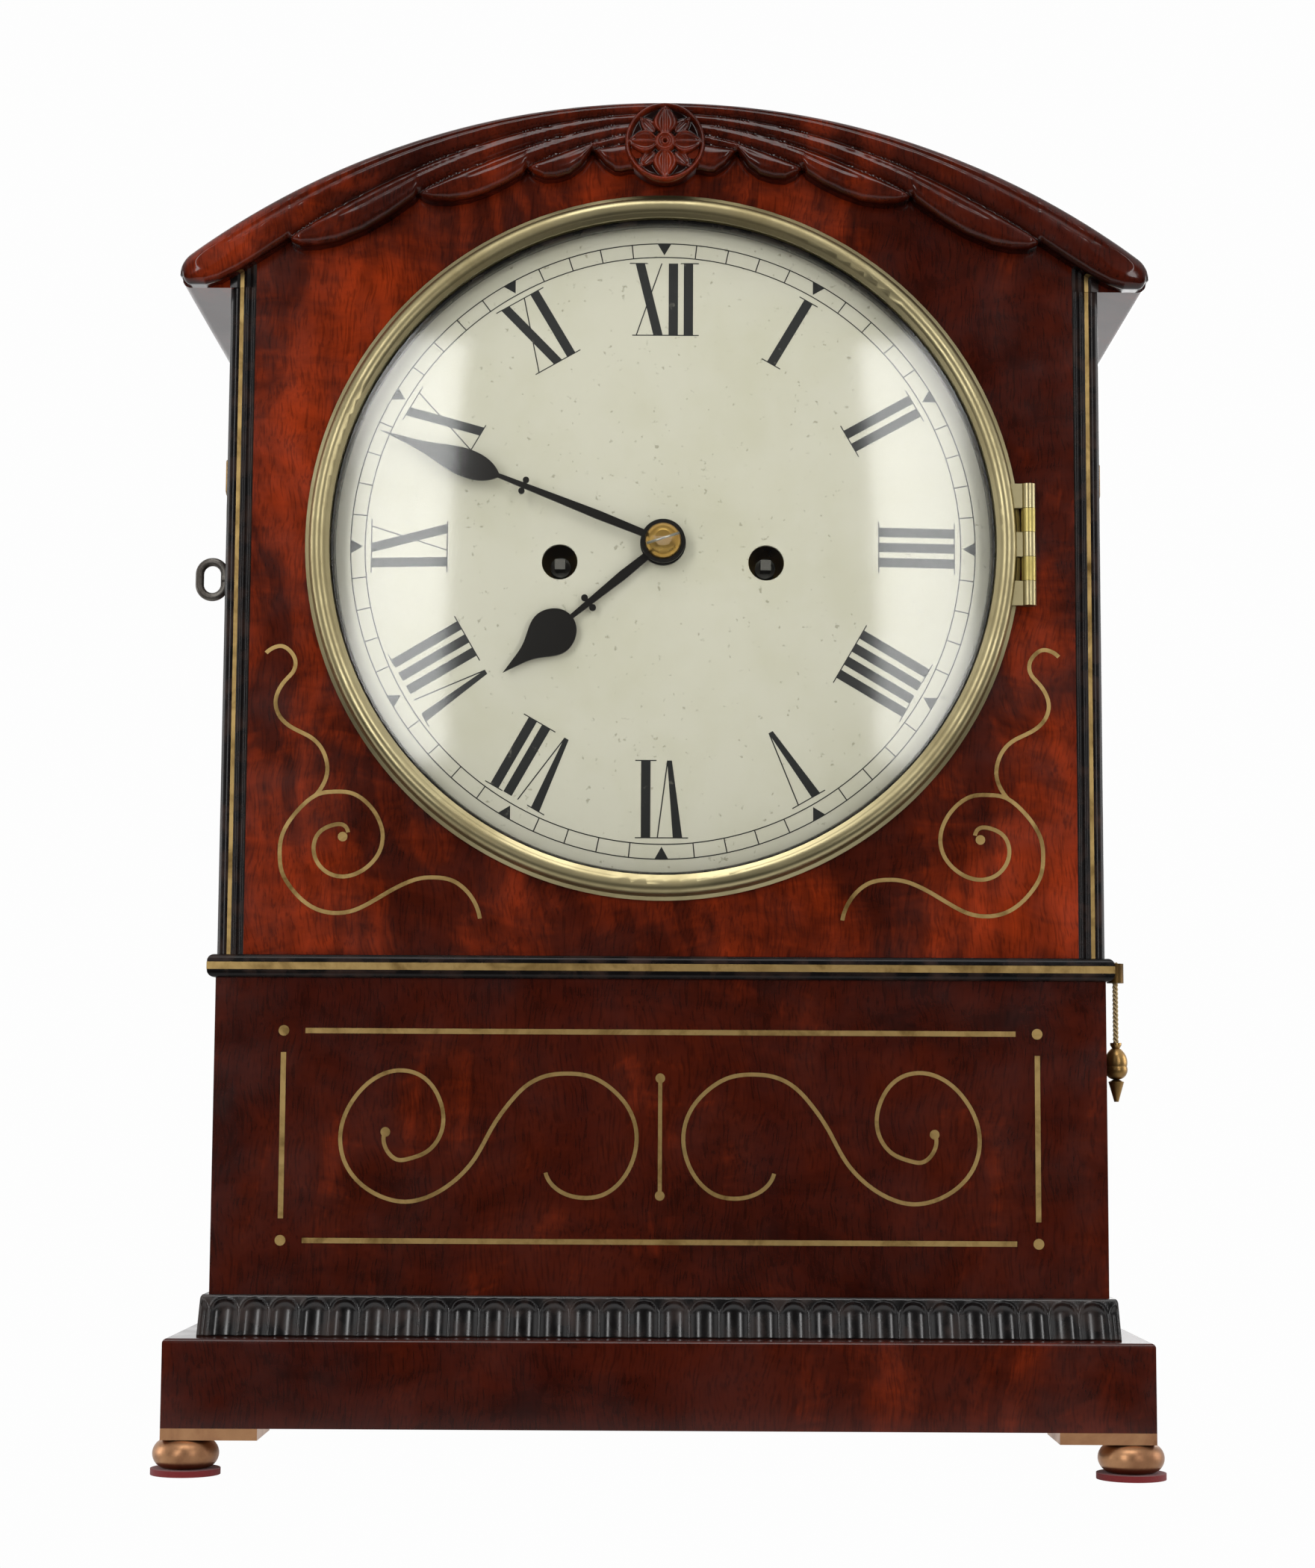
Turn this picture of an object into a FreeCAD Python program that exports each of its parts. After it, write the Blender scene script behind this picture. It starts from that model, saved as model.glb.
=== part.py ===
import FreeCAD, Part
import math
import os

import Sketcher
from FreeCAD import Placement, Rotation, Vector

# Bracket clock: an arched mahogany case on brass ball feet, with a hinged bezel over a convex dial
# and a striking movement on a seatboard. Millimetres. X to the viewer's right, Y to the back, Z up.
# The origin is on the table, under the middle of the plinth.

SIZES = {
    # feet
    "pad_radius": 10.3,
    "pad_thickness": 1.8,
    "ball_radius": 9.8,
    "ball_height": 8.6,
    "ball_seat_radius": 6.2,
    "foot_plate_side": 28.5,
    "foot_plate_thickness": 3.4,
    "foot_overhang": 3.1,
    # plinth and the fluted moulding on it
    "plinth_width": 292.4,
    "plinth_depth": 180.0,
    "plinth_height": 26.0,
    "plinth_rim": 34.0,
    "plinth_edge": 1.4,
    "flute_height": 12.2,
    "flute_overhang": 3.3,
    "flute_pitch": 9.2,
    "flute_width": 6.8,
    "flute_depth": 1.5,
    # lower box
    "case_width": 268.8,
    "case_depth": 166.0,
    "base_height": 106.7,
    "board": 8.0,
    "inlay_depth": 0.7,
    "inlay_proud": 0.05,
    "line_inset_side": 20.9,
    "line_rise": 28.2,
    "line_span": 62.6,
    "line_gap": 6.5,
    "line_width": 1.6,
    "dot_radius": 1.6,
    "small_dot_radius": 1.45,
    "scroll_line": 1.2,
    "base_scroll_length": 88.6,
    "panel_scroll_length": 66.0,
    # waist
    "waist_height": 7.0,
    "waist_overhang": 2.4,
    "waist_round": 2.1,
    "waist_ledge": 17.0,
    "waist_string": 2.2,
    # upper case
    "case_height": 206.3,
    "front_thickness": 9.0,
    "corner_width": 8.1,
    "reed_width": 1.9,
    "string_width": 1.2,
    "string_proud": 0.1,
    "roof_radius": 242.0,
    "roof_thickness": 7.0,
    "crown_rise": 57.9,
    "eaves_overhang": 14.7,
    "eaves_round": 2.4,
    "nose_round": 8.0,
    "pediment_thickness": 8.0,
    "rosette_radius": 12.6,
    "rosette_proud": 1.5,
    # dial, glass and bezel
    "dial_height": 126.3,
    "panel_hole_radius": 104.0,
    "dial_radius": 103.0,
    "dial_thickness": 1.4,
    "dial_rise": 6.5,
    "dial_setback": 6.5,
    "dial_centre_hole": 4.6,
    "winding_hole_radius": 5.5,
    "sight_radius": 102.0,
    "bezel_radius": 109.6,
    "bezel_gap": 0.3,
    "glass_rise": 11.0,
    "glass_thickness": 1.6,
    "glass_edge_radius": 103.8,
    "hinge_radius": 2.2,
    "hinge_offset": 2.3,
    "hinge_length": 37.7,
    "hinge_pin_radius": 0.8,
    "running_gap": 0.05,
    # hands
    "minute_length": 94.0,
    "hour_length": 63.0,
    "hand_thickness": 0.9,
    "minute_hub_radius": 6.8,
    "hour_hub_radius": 7.0,
    "minute_angle": 292.0,
    "hour_angle": 230.6,
    "collet_radius": 5.6,
    # back door
    "door_width": 176.0,
    "door_height": 170.0,
    "door_rise": 18.5,
    "door_gap": 0.5,
    "door_stile": 18.0,
    "door_glass_thickness": 2.0,
    "door_pin_radius": 1.5,
    "door_pin_reach": 6.0,
    # side fittings
    "handle_depth": 83.0,
    "boss_radius": 17.0,
    "boss_height": 5.0,
    "boss_drop": 31.8,
    "ring_radius": 14.2,
    "ring_wire": 2.0,
    "ring_standoff": 8.0,
    "ring_drop": 42.3,
    "muzzle_radius": 6.2,
    "muzzle_reach": 12.0,
    "key_drop": 9.3,
    "key_setback": 13.0,
    "key_shank_radius": 1.6,
    "key_bow_half_width": 5.2,
    "key_bow_half_height": 6.8,
    "key_bow_wire": 1.3,
    "cord_setback": 22.0,
    "cord_standoff": 6.2,
    "cord_radius": 0.9,
    "cord_length": 32.0,
    "guide_radius": 2.6,
    "guide_length": 6.0,
    "pull_length": 18.1,
    "pull_radius": 3.35,
    # movement
    "seatboard_thickness": 8.5,
    "plate_width": 130.0,
    "plate_height": 183.0,
    "plate_thickness": 3.0,
    "plate_setback": 20.0,
    "plate_spacing": 60.0,
    "pillar_radius": 4.0,
    "pillar_inset": 7.0,
    "arbor_radius": 1.6,
    "staff_radius": 1.2,
    "pivot_radius": 1.0,
    "winding_offset": 31.7,
    "winding_drop": 5.4,
    "winding_arbor_radius": 3.0,
    "winding_square": 3.0,
    "fusee_large_radius": 21.0,
    "fusee_small_radius": 12.0,
    "fusee_length": 25.0,
    "barrel_offset": 33.0,
    "barrel_drop": 67.8,
    "barrel_radius": 22.0,
    "barrel_length": 34.0,
    "barrel_arbor_radius": 3.0,
    "third_offset": 12.5,
    "third_rise": 21.7,
    "escape_rise": 40.7,
    "pallet_rise": 56.2,
    "escape_radius": 11.3,
    "pin_wheel_offset": 23.4,
    "pin_wheel_rise": 25.7,
    "fly_offset": 28.4,
    "fly_rise": 41.9,
    "fly_span": 12.0,
    "minute_wheel_offset": 8.2,
    "minute_wheel_drop": 22.6,
    "wheel_thickness": 1.6,
    "bell_radius": 38.0,
    "bell_height": 28.0,
    "bell_wall": 2.2,
    "bell_rise": 73.0,
    "hammer_offset": 46.0,
    "hammer_rise": 46.0,
    "pendulum_length": 172.6,
    "pendulum_setback": 21.5,
    "bob_radius": 20.0,
    "bob_thickness": 9.0,
}

# Teeth of each wheel and leaves of each pinion.
TEETH = {
    "great": 72,
    "centre_pinion": 8,
    "centre": 84,
    "third_pinion": 7,
    "third": 84,
    "escape_pinion": 7,
    "escape": 30,
    "pin_pinion": 8,
    "pin": 60,
    "fly_pinion": 8,
    "cannon": 30,
    "minute": 30,
    "minute_pinion": 6,
    "hour": 72,
}

doc = FreeCAD.newDocument("BracketClock")
sheet = doc.addObject("Spreadsheet::Sheet", "Sizes")
for row, (alias, value) in enumerate(SIZES.items(), start=1):
    sheet.set(f"A{row}", alias)
    sheet.set(f"B{row}", str(value))
    sheet.setAlias(f"B{row}", alias)
doc.recompute()


class Size:
    """A length with the expression that gives it and its value now."""

    def __init__(self, text, value):
        self.text = text
        self.value = float(value)

    def __float__(self):
        return self.value

    def _join(self, sign, other, swap=False):
        other = size(other)
        left, right = (other, self) if swap else (self, other)
        value = {
            "+": lambda a, b: a + b,
            "-": lambda a, b: a - b,
            "*": lambda a, b: a * b,
            "/": lambda a, b: a / b,
        }[sign](left.value, right.value)
        return Size(f"({left.text} {sign} {right.text})", value)

    def __add__(self, other):
        return self._join("+", other)

    def __radd__(self, other):
        return self._join("+", other, swap=True)

    def __sub__(self, other):
        return self._join("-", other)

    def __rsub__(self, other):
        return self._join("-", other, swap=True)

    def __mul__(self, other):
        return self._join("*", other)

    def __rmul__(self, other):
        return self._join("*", other, swap=True)

    def __truediv__(self, other):
        return self._join("/", other)

    def __neg__(self):
        return Size(f"(0 - {self.text})", -self.value)


def size(value):
    return value if isinstance(value, Size) else Size(f"({float(value):.6f})", value)


def root(value):
    return Size(f"sqrt({value.text})", math.sqrt(value.value))


class Sheet:
    """The driving dimensions by name."""

    def __getattr__(self, alias):
        return Size(f"Sizes.{alias}", sheet.get(alias))


s = Sheet()
nodes = {}

# ---- how pieces are made -----------------------------------------------------------------------

UPRIGHT = Rotation()
TO_BACK = Rotation(Vector(1, 0, 0), -90)
TO_RIGHT = Rotation(Vector(0, 1, 0), 90)
FACING = Rotation(Vector(1, 0, 0), 90)
ALONG = {"Z": UPRIGHT, "Y": TO_BACK, "X": TO_RIGHT}


def bind(thing, name, value):
    thing.setExpression(name, size(value).text)


def place(thing, x, y, z, turn=UPRIGHT):
    x, y, z = size(x), size(y), size(z)
    thing.Placement = Placement(Vector(x.value, y.value, z.value), turn)
    bind(thing, "Placement.Base.x", x)
    bind(thing, "Placement.Base.y", y)
    bind(thing, "Placement.Base.z", z)
    return thing


def node(label, thing):
    thing.Label = label
    nodes[label] = thing
    return thing


def block(x0, x1, y0, y1, z0, z1):
    box = doc.addObject("Part::Box", "Block")
    bind(box, "Length", size(x1) - x0)
    bind(box, "Width", size(y1) - y0)
    bind(box, "Height", size(z1) - z0)
    return place(box, x0, y0, z0)


def rod(radius, length, x, y, z, axis="Z"):
    bar = doc.addObject("Part::Cylinder", "Rod")
    bind(bar, "Radius", radius)
    bind(bar, "Height", length)
    return place(bar, x, y, z, ALONG[axis])


def fuse(*shapes):
    whole = doc.addObject("Part::MultiFuse", "Joined")
    whole.Shapes = list(shapes)
    return whole


def together(*shapes):
    group = doc.addObject("Part::Compound", "Group")
    group.Links = list(shapes)
    return group


def cut(base, *tools):
    trimmed = doc.addObject("Part::Cut", "Trimmed")
    trimmed.Base = base
    trimmed.Tool = tools[0] if len(tools) == 1 else together(*tools)
    return trimmed


def common(first, second):
    shared = doc.addObject("Part::Common", "Shared")
    shared.Base = first
    shared.Tool = second
    return shared


def mirrored(thing):
    other = doc.addObject("Part::Mirroring", "Mirrored")
    other.Source = thing
    other.Normal = Vector(1, 0, 0)
    other.Base = Vector(0, 0, 0)
    return other


def formed(shape, x=0, y=0, z=0, turn=UPRIGHT):
    """A piece whose shape is worked out here from the sheet's values."""
    piece = doc.addObject("Part::Feature", "Formed")
    piece.Shape = shape
    return place(piece, x, y, z, turn)


def plane(body, role):
    return next(part for part in body.Origin.OriginFeatures if part.Role == role)


def new_sketch(body, role):
    sketch = body.newObject("Sketcher::SketchObject", "Sketch")
    sketch.AttachmentSupport = [(plane(body, role), "")]
    sketch.MapMode = "FlatFace"
    return sketch


def arc_between(start, end, bend):
    """The short arc of radius |bend| from start to end: it turns left where bend is positive."""
    radius = abs(bend)
    chord = end - start
    left = Vector(-chord.y, chord.x, 0).normalize()
    reach = math.sqrt(max(radius**2 - (chord.Length / 2) ** 2, 0))
    side = 1 if bend > 0 else -1
    centre = (start + end) * 0.5 + left * (reach * side)
    first, last = (start, end) if bend > 0 else (end, start)
    angles = [math.atan2(point.y - centre.y, point.x - centre.x) for point in (first, last)]
    if angles[1] <= angles[0]:
        angles[1] += 2 * math.pi
    return Part.ArcOfCircle(Part.Circle(centre, Vector(0, 0, 1), radius), *angles)


def constrain_point(sketch, edge, end, u, v):
    for kind, value, axis in (("DistanceX", u, -2), ("DistanceY", v, -1)):
        if value.value == 0 and "Sizes" not in value.text:
            sketch.addConstraint(Sketcher.Constraint("PointOnObject", edge, end, axis))
            continue
        index = sketch.addConstraint(Sketcher.Constraint(kind, -1, 1, edge, end, value.value))
        bind(sketch, f"Constraints[{index}]", value)


def draw_outline(sketch, outline):
    """A closed outline of (u, v) or (u, v, bend) points, where bend curves the run that follows."""
    corners = [Vector(float(point[0]), float(point[1]), 0) for point in outline]
    runs = []
    for index, point in enumerate(outline):
        start, end = corners[index], corners[(index + 1) % len(corners)]
        bend = size(point[2]) if len(point) > 2 else None
        if bend is None:
            edge = sketch.addGeometry(Part.LineSegment(start, end), False)
            runs.append((edge, 1, 2))
            continue
        edge = sketch.addGeometry(arc_between(start, end, bend.value), False)
        runs.append((edge, 1, 2) if bend.value > 0 else (edge, 2, 1))
        radius = bend if bend.value > 0 else -bend
        index = sketch.addConstraint(Sketcher.Constraint("Radius", edge, radius.value))
        bind(sketch, f"Constraints[{index}]", radius)
    for index, (edge, start, _) in enumerate(runs):
        before, _, end = runs[index - 1]
        sketch.addConstraint(Sketcher.Constraint("Coincident", before, end, edge, start))
        u, v = outline[index][:2]
        constrain_point(sketch, edge, start, size(u), size(v))


def draw_circle(sketch, u, v, radius):
    u, v, radius = size(u), size(v), size(radius)
    circle = Part.Circle(Vector(u.value, v.value, 0), Vector(0, 0, 1), radius.value)
    edge = sketch.addGeometry(circle, False)
    index = sketch.addConstraint(Sketcher.Constraint("Radius", edge, radius.value))
    bind(sketch, f"Constraints[{index}]", radius)
    constrain_point(sketch, edge, 3, u, v)


def padded(outline, length, circles=(), inner=()):
    """A plate: an outline with round and shaped holes, of the given thickness."""
    body = doc.addObject("PartDesign::Body", "Plate")
    sketch = new_sketch(body, "XY_Plane")
    draw_outline(sketch, outline)
    for hole in inner:
        draw_outline(sketch, hole)
    for circle in circles:
        draw_circle(sketch, *circle)
    pad = body.newObject("PartDesign::Pad", "Pad")
    pad.Profile = sketch
    bind(pad, "Length", length)
    sketch.Visibility = False
    return body


def slab(outline, front, back, circles=(), inner=()):
    """A plate that faces the front, between two depths, drawn as seen from the front."""
    body = padded(outline, size(back) - front, circles, inner)
    return place(body, 0, back, 0, FACING)


def turned(outline, x, y, z, axis="Z"):
    """A piece turned round its axis: the outline is (radius, along the axis)."""
    body = doc.addObject("PartDesign::Body", "Turned")
    sketch = new_sketch(body, "XZ_Plane")
    draw_outline(sketch, outline)
    spin = body.newObject("PartDesign::Revolution", "Spin")
    spin.Profile = sketch
    spin.ReferenceAxis = (sketch, ["V_Axis"])
    spin.Angle = 360
    return place(body, x, y, z, ALONG[axis])


def rectangle(u0, u1, v0, v1):
    return [(u0, v0), (u1, v0), (u1, v1), (u0, v1)]


def soften(body, radius, wanted):
    """Rounds the edges of a body's last feature that the test wants."""
    doc.recompute()
    base = body.Tip
    names = [f"Edge{n}" for n, edge in enumerate(base.Shape.Edges, start=1) if wanted(edge)]
    fillet = body.newObject("PartDesign::Fillet", "Rounding")
    fillet.Base = (base, names)
    bind(fillet, "Radius", radius)
    return body


def near(first, second):
    return abs(first - second) < 1e-4


def ring_wire(points):
    return Part.makePolygon(points + points[:1])


# ---- levels and planes that several pieces share -----------------------------------------------

half_plinth = s.plinth_width / 2
half_plinth_depth = s.plinth_depth / 2
half_case = s.case_width / 2
foot_x = half_plinth + s.foot_overhang - s.ball_radius
foot_y = half_plinth_depth + s.foot_overhang - s.ball_radius

ball_bottom = s.pad_thickness
plate_bottom = ball_bottom + s.ball_height
plinth_bottom = plate_bottom + s.foot_plate_thickness
plinth_top = plinth_bottom + s.plinth_height
waist_bottom = plinth_top + s.base_height
waist_top = waist_bottom + s.waist_height
eaves = waist_top + s.case_height
crown = eaves + s.crown_rise
roof_centre = crown - s.roof_radius
dial_z = waist_top + s.dial_height

face = (s.plinth_width - s.case_width) / 2 - half_plinth_depth
back = face + s.case_depth
side_inner = half_case - s.board
front_half = half_case - s.corner_width


# ---- feet and plinth ---------------------------------------------------------------------------

def four_feet(make):
    return together(*[make(x, y) for x in (-1, 1) for y in (-1, 1)])


def foot_pad(x_side, y_side):
    return rod(s.pad_radius, s.pad_thickness, foot_x * x_side, foot_y * y_side, 0)


def ball_foot(x_side, y_side):
    swell = s.ball_radius - s.ball_seat_radius
    half = s.ball_height / 2
    bulge = (half * half + swell * swell) / (swell * 2)
    seat = s.ball_seat_radius
    outline = [(0, 0), (seat, 0, bulge), (seat, s.ball_height), (0, s.ball_height)]
    ball = turned(outline, foot_x * x_side, foot_y * y_side, ball_bottom)
    x_low = (half_plinth - s.foot_plate_side) if x_side > 0 else -half_plinth
    y_low = (half_plinth_depth - s.foot_plate_side) if y_side > 0 else -half_plinth_depth
    plate = block(
        x_low, x_low + s.foot_plate_side, y_low, y_low + s.foot_plate_side, plate_bottom, plinth_bottom
    )
    return fuse(ball, plate)


node("foot_pads", four_feet(foot_pad))
node("ball_feet", four_feet(ball_foot))


def make_plinth():
    rim_x = half_plinth - s.plinth_rim
    rim_y = half_plinth_depth - s.plinth_rim
    body = padded(
        rectangle(-half_plinth, half_plinth, -half_plinth_depth, half_plinth_depth),
        s.plinth_height,
        inner=[rectangle(-rim_x, rim_x, -rim_y, rim_y)],
    )
    place(body, 0, 0, plinth_bottom)
    top = s.plinth_height.value

    def outer_top(edge):
        box = edge.BoundBox
        upper = near(box.ZMin, top) and near(box.ZMax, top)
        out_x = near(abs(box.Center.x), half_plinth.value)
        out_y = near(abs(box.Center.y), half_plinth_depth.value)
        return upper and (out_x or out_y)

    return soften(body, s.plinth_edge, outer_top)


node("plinth", make_plinth())


def arched_cutter(width, height, depth):
    """An upright hollow with a half-round head."""
    half = width / 2
    corner = [Vector(-half, 0, 0), Vector(half, 0, 0), Vector(half, 0, height - half)]
    arc = Part.Arc(corner[2], Vector(0, 0, height), Vector(-half, 0, height - half)).toShape()
    edges = [
        Part.LineSegment(corner[0], corner[1]).toShape(),
        Part.LineSegment(corner[1], corner[2]).toShape(),
        arc,
        Part.LineSegment(Vector(-half, 0, height - half), corner[0]).toShape(),
    ]
    return Part.Face(Part.Wire(edges)).extrude(Vector(0, depth, 0))


def make_fluted_moulding():
    outer = half_case + s.flute_overhang
    front = face - s.flute_overhang
    top = plinth_top + s.flute_height
    strip = cut(
        block(-outer, outer, front, back, plinth_top, top),
        block(-half_case, half_case, face, back + 1, plinth_top - 1, top + 1),
    )
    pitch = s.flute_pitch.value
    head_room = s.flute_height.value - s.flute_depth.value
    flute = arched_cutter(s.flute_width.value, head_room + 1, s.flute_depth.value + 1)
    cutters = []

    def add(turn, x, y):
        copy = flute.copy()
        copy.Placement = Placement(Vector(x, y, plinth_top.value - 1), Rotation(Vector(0, 0, 1), turn))
        cutters.append(copy)

    half_count = int(outer.value / pitch)
    for step in range(-half_count, half_count):
        add(0, (step + 0.5) * pitch, front.value - 1)
    side_count = int((s.case_depth.value + s.flute_overhang.value) / pitch)
    for step in range(side_count):
        along = front.value + (step + 0.5) * pitch + 1
        add(90, outer.value + 1, along)
        add(-90, -outer.value - 1, along)
    return cut(strip, formed(Part.makeCompound(cutters)))


node("fluted_moulding", make_fluted_moulding())


# ---- inlay -------------------------------------------------------------------------------------

# Each scroll's centre line, as shares of its length, from its dot to its tail.
BASE_SCROLL = [
    (-0.352, 0.004), (-0.338, -0.056), (-0.302, -0.082), (-0.268, -0.078), (-0.204, -0.052),
    (-0.156, 0.020), (-0.166, 0.124), (-0.226, 0.200), (-0.306, 0.220), (-0.388, 0.192),
    (-0.456, 0.124), (-0.497, 0.030), (-0.484, -0.090), (-0.430, -0.162), (-0.362, -0.204),
    (-0.274, -0.222), (-0.184, -0.198), (-0.106, -0.146), (-0.044, -0.076), (0.012, 0.026),
    (0.070, 0.110), (0.136, 0.176), (0.204, 0.206), (0.262, 0.212), (0.346, 0.202),
    (0.426, 0.154), (0.478, 0.092), (0.503, 0.014), (0.488, -0.088), (0.448, -0.154),
    (0.390, -0.196), (0.320, -0.206), (0.260, -0.192), (0.216, -0.160), (0.196, -0.122),
]
PANEL_SCROLL = [
    (0.025, 0.020), (0.000, 0.055), (-0.050, 0.052), (-0.108, 0.018), (-0.132, -0.040),
    (-0.118, -0.112), (-0.070, -0.164), (0.000, -0.184), (0.070, -0.168), (0.128, -0.128),
    (0.170, -0.070), (0.184, 0.012), (0.160, 0.090), (0.104, 0.162), (0.036, 0.202),
    (-0.040, 0.208), (-0.110, 0.198), (-0.180, 0.150), (-0.240, 0.080), (-0.280, 0.000),
    (-0.288, -0.084), (-0.276, -0.164), (-0.234, -0.236), (-0.172, -0.300), (-0.100, -0.340),
    (-0.026, -0.352), (0.048, -0.342), (0.120, -0.310), (0.210, -0.256), (0.290, -0.214),
    (0.362, -0.190), (0.430, -0.186), (0.502, -0.198), (0.566, -0.240), (0.612, -0.302),
    (0.636, -0.374),
]
PANEL_TAIL = [
    (-0.368, 0.852), (-0.336, 0.876), (-0.294, 0.884), (-0.260, 0.864), (-0.232, 0.816),
    (-0.240, 0.768), (-0.272, 0.730), (-0.304, 0.684), (-0.320, 0.628), (-0.310, 0.576),
    (-0.270, 0.524), (-0.214, 0.490), (-0.158, 0.462), (-0.112, 0.420), (-0.082, 0.358),
    (-0.076, 0.296), (-0.098, 0.232), (-0.132, 0.186),
]


def ribbon(points, length, x, z, width, mirror=1):
    """A strip of brass laid along a centre line, seen from the front, let into the panel's face."""
    centre = [Vector(x + u * length * mirror, 0, z + v * length) for u, v in points]
    curve = Part.BSplineCurve()
    curve.interpolate(centre)
    path = Part.Wire(curve.toShape())
    along = curve.tangent(curve.FirstParameter)[0]
    across = Vector(-along.z, 0, along.x).normalize() * (width / 2)
    low = Vector(0, face.value - s.inlay_proud.value, 0)
    high = Vector(0, face.value + s.inlay_depth.value, 0)
    start = centre[0]
    left, right = start - across, start + across
    profile = ring_wire([left + low, right + low, right + high, left + high])
    path.translate(low)
    return path.makePipeShell([profile], True, False)


def dot(x, z, radius):
    depth = s.inlay_depth + s.inlay_proud
    return rod(radius, depth, x, face - s.inlay_proud, z, "Y")


def strip(x0, x1, z0, z1):
    return block(x0, x1, face - s.inlay_proud, face + s.inlay_depth, z0, z1)


def make_base_inlay():
    low = plinth_top + s.line_rise
    high = low + s.line_span
    side = half_case - s.line_inset_side
    half = s.line_width / 2
    pieces = []
    for z in (low, high):
        pieces.append(strip(s.line_gap - side, side - s.line_gap, z - half, z + half))
        pieces += [dot(-side, z, s.dot_radius), dot(side, z, s.dot_radius)]
    for x in (-side, side):
        pieces.append(strip(x - half, x + half, low + s.line_gap, high - s.line_gap))
    middle = (low + high) / 2
    rise = s.line_span * 0.28
    thin = s.scroll_line / 2
    pieces.append(fuse(
        strip(-thin, thin, middle - rise, middle + rise),
        dot(0, middle - rise, s.small_dot_radius),
        dot(0, middle + rise, s.small_dot_radius),
    ))
    length = s.base_scroll_length
    reach = length * 0.583
    for side_sign in (-1, 1):
        curl = ribbon(
            BASE_SCROLL, length.value, side_sign * reach.value, middle.value, s.scroll_line.value,
            -side_sign
        )
        eye_x = (reach + length * 0.348) * side_sign
        eye = dot(eye_x, middle + length * 0.012, s.small_dot_radius)
        pieces.append(fuse(formed(curl), eye))
    return together(*pieces)


def make_panel_scrolls():
    length = s.panel_scroll_length
    width = s.string_width.value
    x = half_case * 0.7203
    z = waist_top + length * 0.5428
    pieces = []
    for side in (-1, 1):
        curl = ribbon(PANEL_SCROLL, length.value, side * x.value, z.value, width, -side)
        tail = ribbon(PANEL_TAIL, length.value, side * x.value, z.value, width, -side)
        eye = dot(x * side, z, s.small_dot_radius)
        pieces.append(fuse(formed(curl), formed(tail), eye))
    return together(*pieces)


base_inlay = node("base_inlay", make_base_inlay())
panel_scrolls = node("panel_scrolls", make_panel_scrolls())


# ---- lower box and waist -----------------------------------------------------------------------

node("base_front_panel", cut(
    block(-half_case, half_case, face, face + s.board, plinth_top, waist_bottom),
    base_inlay,
))
node("base_carcass", cut(
    block(-half_case, half_case, face + s.board, back, plinth_top, waist_bottom),
    block(
        -side_inner, side_inner, face + s.board - 1, back - s.board, plinth_top + s.board,
        waist_bottom + 1
    ),
))

waist_half = half_case + s.waist_overhang
waist_front = face - s.waist_overhang
waist_middle = waist_bottom + s.waist_height / 2
string_low = waist_middle - s.waist_string / 2
string_high = waist_middle + s.waist_string / 2

cord_x = half_case + s.cord_standoff
cord_y = face + s.cord_setback
guide_low = waist_middle - s.guide_length / 2


def waist_string():
    proud = s.string_proud
    return cut(
        block(-waist_half - proud, waist_half + proud, waist_front - proud, back, string_low, string_high),
        block(
            s.inlay_depth - waist_half, waist_half - s.inlay_depth, waist_front + s.inlay_depth, back + 1,
            string_low - 1, string_high + 1
        ),
        rod(s.arbor_radius, 20, waist_half - 10, cord_y, waist_middle, "X"),
    )


def make_waist():
    ledge = s.waist_ledge
    body = padded(
        rectangle(-waist_half, waist_half, waist_front, back),
        s.waist_height,
        inner=[rectangle(ledge - waist_half, waist_half - ledge, waist_front + ledge, back - ledge)],
    )
    place(body, 0, 0, waist_bottom)

    def outer_long(edge):
        box = edge.BoundBox
        flat = near(box.ZMin, box.ZMax)
        at_side = near(abs(box.Center.x), waist_half.value)
        at_front = near(box.YMin, waist_front.value) and near(box.YMax, waist_front.value)
        return flat and (at_side or at_front)

    return soften(body, s.waist_round, outer_long)


guide_stem = rod(
    s.arbor_radius, s.waist_overhang + s.cord_standoff, waist_half - s.waist_overhang * 2, cord_y,
    waist_middle, "X"
)
stem_bore = rod(s.arbor_radius, 20, waist_half - s.waist_overhang * 2, cord_y, waist_middle, "X")
waist_brass = waist_string()
node("waist_moulding", cut(make_waist(), waist_brass, stem_bore))


# ---- upper case --------------------------------------------------------------------------------

key_z = dial_z - s.key_drop
key_y = face + s.key_setback


def side_board(x_low):
    return block(x_low, x_low + s.board, face + s.front_thickness, back, waist_top, eaves)


node("case_side_left", cut(
    side_board(-half_case),
    rod(s.key_shank_radius + 0.6, s.board + 2, -half_case - 1, key_y, key_z, "X"),
))
node("case_side_right", side_board(side_inner))


def arched(half_width, low):
    """A board whose head fits under the roof."""
    inner = s.roof_radius - s.roof_thickness
    shoulder = roof_centre + root(inner * inner - half_width * half_width)
    return [(-half_width, low), (half_width, low), (half_width, shoulder, inner), (-half_width, shoulder)]


def reeded_corner():
    """The right corner's moulding in plan: two reeds, a slot for the brass and a rounded corner."""
    inner = front_half
    reed = s.reed_width
    slot = s.inlay_depth
    left = inner + reed * 2
    right = left + s.string_width
    outline = [
        (inner, face, reed * 0.6),
        (inner + reed, face, reed * 0.6),
        (left, face),
        (left, face + slot),
        (right, face + slot),
        (right, face, reed * 1.3),
        (half_case, face + reed),
        (half_case, face + s.front_thickness),
        (inner, face + s.front_thickness),
    ]
    return place(padded(outline, s.case_height), 0, 0, waist_top)


def corner_string():
    left = front_half + s.reed_width * 2
    return block(
        left, left + s.string_width, face - s.string_proud, face + s.inlay_depth, waist_top, eaves
    )


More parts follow.
